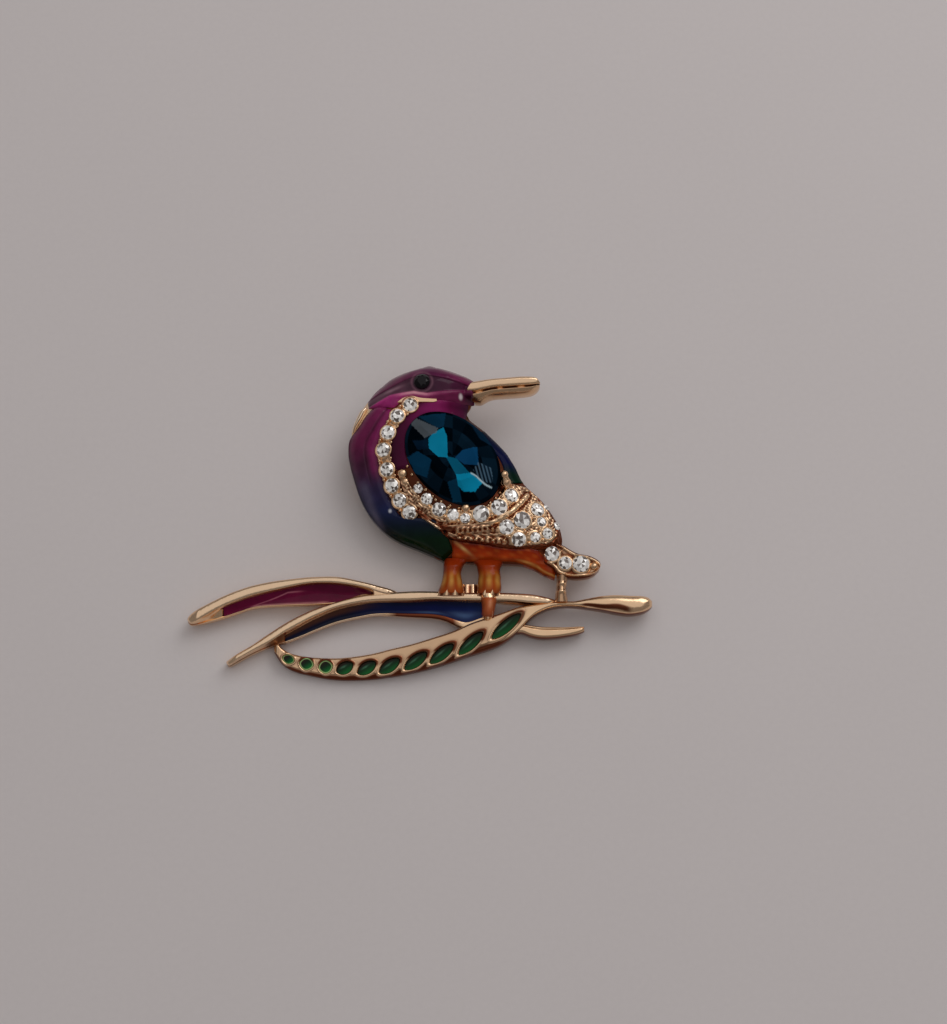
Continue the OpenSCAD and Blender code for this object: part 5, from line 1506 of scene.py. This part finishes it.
# %% Shape of a cut stone
def brilliant(diameter, sides=8):
    """Points and faces of a round stone: a ring for its table, a ring of stars turned by half a
    facet, two rings for its girdle, a point below and the table's centre. All are shares of the
    diameter."""
    def ring(radius, z, count, shift):
        """Places at equal angles on a level circle, turned by a share of one step."""
        angle = (np.arange(count) + shift) * 2 * math.pi / count
        return np.column_stack([radius * np.cos(angle), radius * np.sin(angle), np.full(count, z)])

    points = np.concatenate([
        ring(0.28, 0.2, sides, 0), ring(0.4, 0.13, sides, 0.5), ring(0.5, 0.03, 2 * sides, 0),
        ring(0.5, -0.03, 2 * sides, 0), [[0, 0, -0.38], [0, 0, 0.2]]]) * diameter
    stars, upper, lower, low_point, centre = sides, 2 * sides, 4 * sides, 6 * sides, 6 * sides + 1
    i = np.arange(sides)
    j = (i + 1) % sides
    k = np.arange(2 * sides)
    after = (k + 1) % (2 * sides)
    return points, [
        np.stack([i, j, np.full(sides, centre)], -1),
        np.stack([j, i, stars + i], -1),
        np.stack([j, stars + i, upper + 2 * j, stars + j], -1),
        np.stack([stars + i, upper + 2 * i, upper + 2 * i + 1], -1),
        np.stack([stars + i, upper + 2 * i + 1, upper + 2 * j], -1),
        np.stack([upper + after, upper + k, lower + k, lower + after], -1),
        np.stack([lower + after, lower + k, np.full(2 * sides, low_point)], -1)]


def placed(points, place, height, spin, lean=None):
    """Points of a stone turned by spin, leaned by the dome's slope or by lean, and moved to a
    place in mm. The slope is half the difference of the dome's height over two steps."""
    step = 0.3
    slope = np.array([body_z(place - k) - body_z(place + k) for k in ([step, 0], [0, step])]) / (2 * step)
    steep = np.linalg.norm(slope)
    tilt = math.atan(steep) if lean is None else lean
    c, s = math.cos(spin), math.sin(spin)
    p = points @ np.array([[c, s, 0], [-s, c, 0], [0, 0, 1]])
    if steep > 1e-6 and tilt > 0:
        away = slope / steep
        run = p[:, :2] @ away
        new_run = run * math.cos(tilt) + p[:, 2] * math.sin(tilt)
        z = p[:, 2] * math.cos(tilt) - run * math.sin(tilt)
        p = np.column_stack([p[:, :2] + (new_run - run)[:, None] * away, z])
    return p + [place[0], place[1], height]


print("facets of a cut stone:", sum(len(block) for block in brilliant(1.0)[1]))


# %% Clear glass
DARK_SHARE = 0.35


def facet_greys(count, seed):
    """A fixed pattern of painted reflections, light and dark, one value for each face: the part after
    the point of a large sine, made darker where it is under DARK_SHARE and lighter elsewhere."""
    wave = np.sin(np.arange(count) * 12.9898 + seed * 78.233) * 43758.5453
    share = wave - np.floor(wave)
    return np.where(share < DARK_SHARE, 0.6 * share, 0.5 + 0.5 * share)


glass, glass_inputs, glass_places = new_material(
    "clear_glass", Metallic=0.35, IOR=1.6, Coat_Weight=1.0, Coat_Roughness=0.02)
facet = stored(glass_places, "facet")
fine = speckle(glass_places, 3000, 1)
plug(glass_inputs["Base Color"], (facet * 0.9 + fine * 0.1).colours(paint(88, 68, 56), paint(255, 254, 252)))
plug(glass_inputs["Roughness"], fine * 0.08 + 0.05)
# the brightest facets glow a little, painted light standing for the foil behind them
plug(glass_inputs["Emission Color"], facet.between(0.55, 1.0).colours(paint(0, 0, 0), paint(255, 252, 246)))
glass_inputs["Emission Strength"].default_value = 0.3
print("glass nodes:", len(glass.node_tree.nodes))

# %% Small stones
STONE_OVER = 0.06
ROOM_IN_SEAT = 1.08
EDGE_ON = math.radians(58)


def over_dome(row, lift):
    """Height in mm of the dome at a row's place, and lift more."""
    return body_z(at(row[0], row[1])) + lift


def small_stone(node, row, height, spin, lean=None):
    """One cut stone at a row of a table, as the dressed form of a node of the frame."""
    points, blocks = brilliant(row[2] * ROOM_IN_SEAT)
    greys = np.concatenate([facet_greys(len(b), spin * 10 + k) for k, b in enumerate(blocks)])
    shell = (placed(points, at(row[0], row[1]), height, spin, lean), blocks)
    return piece(f"{node}_cut", shell, glass, "clear_glass", [node], sharp=1, facet=greys)


for k, row in enumerate(COLLAR):
    small_stone(f"collar_stone_{k + 1}", row, over_dome(row, COLLAR_LIFT + STONE_OVER), k * 0.7)
for k, row in enumerate(ARC + FIELD):
    edge_on = k >= len(SEATED)
    height = over_dome(row, WING_LIFT * (0.6 if edge_on else 1) + STONE_OVER)
    small_stone(f"wing_stone_{k + 1}", row, height, k * 0.9, EDGE_ON if edge_on else None)
for k, row in enumerate(TAIL_STONES):
    small_stone(f"tail_stone_{k + 1}", row, TAIL_RISE + STONE_OVER, k * 1.3, 0)
small_stone("nape_stone", [*NAPE, 1.0], over_dome(NAPE, -0.25), 0.4, EDGE_ON)

# %% [markdown]
# ## The big oval stone
#
# A dark teal oval of cut glass fills the middle of the body. What one sees in such a stone is
# mostly its lower facets, mirrored and broken up by the upper ones: a few bright teal patches in
# near black. The upper facets are real flat faces here, cut finely enough that each point can
# keep a painted tone for the lower facet under it. These tones, a grey patch, a hatched patch and
# a pale edge line are painted reflections and highlights.

# %% Big stone: shape
STONE_RAYS = 240
TABLE_FOLDS = 10
TABLE_DIP = 0.2


def oval(long, wide, count):
    """Ring of places on an ellipse with these full lengths, in the stone's own axes."""
    a = 2 * math.pi * np.arange(count) / count
    return np.column_stack([long / 2 * np.cos(a), wide / 2 * np.sin(a)])


def gem_to_plane(p):
    """Places of the stone's own axes turned by GEM_TURN and moved to its centre."""
    c, s = math.cos(GEM_TURN), math.sin(GEM_TURN)
    return p @ np.array([[c, s], [-s, c]]) + at(*GEM)


gem_rays = np.linspace(0, 2 * math.pi, STONE_RAYS + 1)[:-1]
gem_share = np.linspace(0, 1, 61)[1:, None]
half_facet = math.pi / TABLE_FOLDS
folded = np.abs((gem_rays + half_facet) % (2 * half_facet) - half_facet)
upper_facets = (1 - gem_share * np.cos(folded)) / 0.4
lower_facets = (1.02 - gem_share * np.cos(half_facet - folded)) / 0.52
gem_slope = np.clip(np.minimum(upper_facets, lower_facets), 0, 1)
gem_top_z = GEM_Z + TABLE_DIP + (GEM_CROWN - TABLE_DIP) * gem_slope
gem_plane = gem_to_plane(gem_share[..., None] * oval(GEM_LONG, GEM_WIDE, STONE_RAYS))
print("points on the big stone's upper side:", gem_top_z.size)


# %% Big stone: painted reflections in its facets
GEM_TONES = [
    # painted reflection: colour on a screen, then corner places in hundredths, going round
    ((12, 48, 72), [(49.5, 82.0), (55.6, 83.0), (55.2, 78.2), (54.0, 77.6)]),
    ((10, 34, 54), [(60.6, 80.4), (64.6, 76.6), (66.6, 71.6), (63.0, 74.4)]),
    ((12, 62, 94), [(47.3, 68.9), (49.5, 70.6), (52.6, 67.5), (51.6, 62.2), (49.1, 63.8)]),
    ((8, 30, 50), [(48.4, 74.0), (51.6, 73.8), (51.8, 70.8), (49.6, 70.9)]),
    ((12, 100, 132), [(55.6, 68.6), (58.0, 67.8), (60.8, 63.2), (57.8, 62.7)]),
    ((12, 60, 88), [(56.0, 60.6), (58.2, 61.6), (59.2, 54.6), (57.2, 54.8)]),
    ((14, 70, 112), [(59.2, 70.5), (62.4, 71.7), (62.7, 65.7), (59.6, 66.0), (57.6, 68.1)]),
    ((14, 138, 176), [(55.2, 77.9), (55.9, 74.6), (56.1, 68.1), (54.0, 68.4), (52.0, 71.0),
                      (51.9, 74.3), (53.4, 76.4)]),
    ((14, 156, 200), [(57.8, 62.8), (61.0, 63.3), (63.4, 60.4), (62.0, 57.8), (59.6, 57.5), (58.2, 59.5)]),
    ((86, 94, 100), [(48.1, 79.5), (49.2, 81.4), (54.0, 77.6), (53.6, 76.1), (51.1, 74.5)])]
HATCHED = [(61.4, 64.2), (62.6, 66.6), (65.4, 65.4), (65.8, 60.8), (63.6, 60.6)]
BRIGHT_EDGE = [(61.1, 63.2), (62.2, 62.3), (63.2, 61.0), (64.2, 59.9), (65.4, 59.2)]


def inside_shape(p, corners):
    """1 where places lie inside a convex shape, whichever way round its corners go."""
    c = at(*np.array(corners, float).T)
    n = np.roll(c, -1, 0) - c
    cross = [(p[..., 0] - a[0]) * e[1] - (p[..., 1] - a[1]) * e[0] for a, e in zip(c, n)]
    return np.all(np.array(cross) > 0, 0) | np.all(np.array(cross) < 0, 0)


# each sector of facets gets its own darkness, a painted reflection
sector = np.sin(np.floor(gem_rays / half_facet) * 7.3 + np.floor(gem_share * 3.2) * 3.1)
gem_tint = screen(5, 20, 31) * (1 + 1.2 * np.clip(sector, -0.5, 1))[..., None]
for colour, corners in GEM_TONES:
    hit = inside_shape(gem_plane, corners)
    gem_tint[hit] = gem_tint[hit] * 0.3 + screen(*colour)
hatch = 0.5 + 0.5 * np.sin(gem_plane[..., 0] * 14 + gem_plane[..., 1] * 4)
edge_line, _ = near_path(gem_plane, at(*np.array(BRIGHT_EDGE).T))
# painted reflection in a hatched patch and a painted highlight along a bright edge
gem_tint = touched(
    gem_tint,
    (inside_shape(gem_plane, HATCHED) * hatch**2, 0.45, (120, 160, 190)),
    (1 - soft(edge_line, 0.03, 0.15), 0.9, (206, 236, 248)))
print("tones on the big stone:", len(GEM_TONES))

# %% Big stone: glass and mesh
teal_glass, teal_inputs, teal_places = new_material(
    "teal_glass", IOR=1.6, Specular_IOR_Level=0.0, Coat_Roughness=0.01)
teal_cloud = speckle(teal_places, 260, 2)
teal_both = teal_cloud.into("ShaderNodeVectorMath", {"operation": "SCALE"},
                            {0: stored(teal_places, "tint", "Color"), "Scale": teal_cloud * 0.7 + 0.65})
plug(teal_inputs["Base Color"], teal_both)
plug(teal_inputs["Roughness"], teal_cloud * 0.05 + 0.03)
gem_girdle = raised(gem_to_plane(oval(GEM_LONG, GEM_WIDE, STONE_RAYS)), GEM_Z - 0.2)
gem_keel = raised(gem_to_plane(oval(1.4, 1.0, STONE_RAYS)), GEM_Z - GEM_DEPTH)
gem_rings = np.concatenate([raised(gem_plane, gem_top_z), gem_girdle[None], gem_keel[None]])
gem_centre = raised(at(*GEM), GEM_Z + GEM_CROWN)
gem_points = np.concatenate([gem_rings.reshape(-1, 3), gem_centre[None]])
gem_grid = np.arange(gem_rings[..., 0].size).reshape(-1, STONE_RAYS)
gem_closed = np.concatenate([gem_grid, gem_grid[:, :1]], 1)
centre_number = np.full(STONE_RAYS, gem_grid.size)
gem_fan = np.stack([np.roll(gem_grid[0], -1), gem_grid[0], centre_number], -1)
gem_tints = np.concatenate([gem_tint.reshape(-1, 3), np.tile(gem_tint[-1], (2, 1)), screen(6, 18, 30)[None]])
piece("body_stone_cut", (gem_points, [quads(gem_closed), gem_fan, gem_grid[-1:, ::-1]]), teal_glass,
      "teal_glass", ["body_stone"], sharp=8, tint=gem_tints)

# %% [markdown]
# ## What holds the stones
#
# The big stone sits in a cup, painted dark as shade, held by a claw and by a few beads pushed against its
# edge.
# Small grains of gold between the round stones do the same work for them. A claw is posts and
# balls that melt into each other, so they are simply joined: where closed shells overlap, only
# their outside shows.


# %% Cup of the big stone
# How far each ring lies outside the stone's outline, and its height, from the foot up and inwards.
CUP_RINGS = [(0.02, 0.4), (0.02, GEM_Z - 0.5), (0.0, GEM_Z - 0.35), (-0.06, GEM_Z - 0.3),
             (-0.5, GEM_Z - 0.6)]
cup_rings = np.array([
    raised(gem_to_plane(oval(GEM_LONG + 2 * grow, GEM_WIDE + 2 * grow, 160)), z) for grow, z in CUP_RINGS])
# the cup is painted dark, as shade round the big stone
cast("stone_cup", tube(cup_rings), 1.7, sharp=60)


# %% Claw and beads
def ball(centre, radius, flat=1.0, rows=10, columns=16):
    """Round bead: rings of a sphere, squashed by flat in height, closed by tiny rings at its poles."""
    a = np.linspace(-math.pi / 2 + 0.02, math.pi / 2 - 0.02, rows)[:, None]
    b = np.linspace(0, 2 * math.pi, columns + 1)[:-1]
    return tube(np.stack([centre[0] + radius * np.cos(a) * np.cos(b),
                          centre[1] + radius * np.cos(a) * np.sin(b),
                          centre[2] + flat * radius * np.sin(a) + 0 * b], -1))


def column(base, top, r_low, r_top):
    """Round post from one point to another, with its radius changing from r_low to r_top."""
    share = np.linspace(0, 1, 8)[:, None, None]
    b = np.linspace(0, 2 * math.pi, 21)[:-1]
    circle = np.stack([np.cos(b), np.sin(b), 0 * b], -1)
    line = np.asarray(base) + (np.asarray(top) - np.asarray(base)) * share
    return tube(line + circle * (r_low + (r_top - r_low) * share))


CLAW_FOOT_Z = 2.2
claw = at(68.2, 63.4)
foot = at(68.6, 61.2)
left_bead = at(46.3, 63.9)
low_bead = at(59.9, 52.9)
bridge = [ball([*(claw + (foot - claw) * t), GEM_Z + 0.35 - 0.4 * t], 0.4 + 0.15 * t * t)
          for t in np.linspace(0.1, 0.9, 7)]
claw_parts = [
    column([*claw, CLAW_FOOT_Z], [*claw, GEM_Z + 0.35], 0.6, 0.36),
    ball([*claw, GEM_Z + 0.4], 0.5),
    column([*foot, CLAW_FOOT_Z], [*foot, GEM_Z - 0.1], 1.0, 0.6),
    ball([*foot, GEM_Z - 0.1], 0.6),
    *bridge,
    ball([*left_bead, body_z(left_bead) + 0.3], 0.62, 0.8),
    ball([*(left_bead + [0.35, -1.0]), body_z(left_bead) + 0.2], 0.5, 0.8),
    ball([*low_bead, body_z(low_bead) + 0.35], 0.62),
    ball([*at(87.5, 35.5), TAIL_RISE - 0.3], 0.5)]
cast("claw_and_beads", joined(*claw_parts), 0.2, sharp=60)

# %% Setting grains between the stones
GRAIN = 0.2
NEIGHBOUR_GAP = 0.9


def grain_at(spot, lift, radius=GRAIN):
    """A small flattened bead on the dome, lift mm above it."""
    return ball([*spot, body_z(spot) + lift], radius, 0.9, rows=6, columns=8)


def grain_pair(a, b, share, out, lift):
    """Two grains beside the line from a to b: at a share of its length, out mm to either side."""
    side = np.array([a[1] - b[1], b[0] - a[0]]) / np.linalg.norm(b - a)
    return [grain_at(a + (b - a) * share + side * way * out, lift) for way in (-1, 1)]


grains = []
for k, (ax, ay, ad) in enumerate(SEATED):
    for bx, by, bd in SEATED[k + 1:]:
        a, b = at(ax, ay), at(bx, by)
        if np.linalg.norm(b - a) - (ad + bd) / 2 < NEIGHBOUR_GAP:
            grains += grain_pair(a, b, ad / (ad + bd), 0.62, WING_LIFT + 0.12)
for a, b in zip(COLLAR[:-1], COLLAR[1:]):
    grains += grain_pair(at(a[0], a[1]), at(b[0], b[1]), 0.5, 0.72, COLLAR_LIFT + 0.1)
for angle in np.radians(np.arange(243, 378, 10)):
    around = [(GEM_LONG / 2 + 0.38) * math.cos(angle), (GEM_WIDE / 2 + 0.38) * math.sin(angle)]
    grains.append(grain_at(gem_to_plane(np.array(around)), 0.12, radius=0.22))
cast("setting_grains", joined(*grains), 0.15, sharp=60)
print("grains:", len(grains))

# %% [markdown]
# ## The eye
#
# The eye is a black glass stone of the same cut as the clear ones, set a little higher than the
# enamel round it. It needs a little colour in its black, or it would look like a hole.

# %% Eye
EYE_WIDE = 2.0
EYE_OVER = 0.42
eye_glass, eye_inputs, eye_places = new_material(
    "black_glass", IOR=1.55, Specular_IOR_Level=0.15, Coat_Weight=0.2, Coat_Roughness=0.02)
plug(eye_inputs["Base Color"], speckle(eye_places, 900, 2).colours(paint(4, 3, 6), paint(14, 8, 16)))
plug(eye_inputs["Roughness"], speckle(eye_places, 1500, 1) * 0.05 + 0.04)
eye_points, eye_blocks = brilliant(EYE_WIDE)
eye_shell = (placed(eye_points, at(*EYE), over_dome(EYE, EYE_OVER), 0.3), eye_blocks)
piece("eye_stone_cut", eye_shell, eye_glass, "black_glass", ["eye_stone"], sharp=1)

# %% [markdown]
# ## The pin at the back
#
# The pin lies under the brooch and keeps its packed shape. It only gets a better finish: the
# same plated metal, a little duller, with fine lines from drawing the wire.

# %% Pin finish
pin_metal, pin_inputs, pin_places = new_material("pin_plate", Metallic=1.0)
pin_noise = speckle(pin_places, 800, 3)
plug(pin_inputs["Base Color"], pin_noise.colours(paint(196, 150, 112), paint(226, 186, 148)))
plug(pin_inputs["Roughness"], pin_noise * 0.15 + 0.26)
bumped(pin_inputs, speckle(pin_places, 2400, 2), 0.000015, 0.6)
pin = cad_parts["pin_back"]
pin.data.materials.clear()
pin.data.materials.append(pin_metal)
print("pin finish set")

# %% [markdown]
# ## The paper under it
#
# The floor is a sheet of pale warm grey paper with a barely visible tooth, so that the soft
# shadow has something to fall on.

# %% Floor
floor_mesh = bpy.data.meshes.new("paper")
floor_mesh.from_pydata([(-1, -1, 0), (1, -1, 0), (1, 1, 0), (-1, 1, 0)], [], [(0, 1, 2, 3)])
paper, paper_inputs, paper_places = new_material("paper", Roughness=0.75)
tooth = speckle(paper_places, 1400, 3)
plug(paper_inputs["Base Color"], (tooth * 0.6 + speckle(paper_places, 30, 2) * 0.4).colours(
    paint(224, 218, 218), paint(232, 226, 226)))
bumped(paper_inputs, tooth, 0.00002, 0.4)
floor_mesh.materials.append(paper)
floor = bpy.data.objects.new("paper", floor_mesh)
bpy.context.collection.objects.link(floor)
print("floor set")
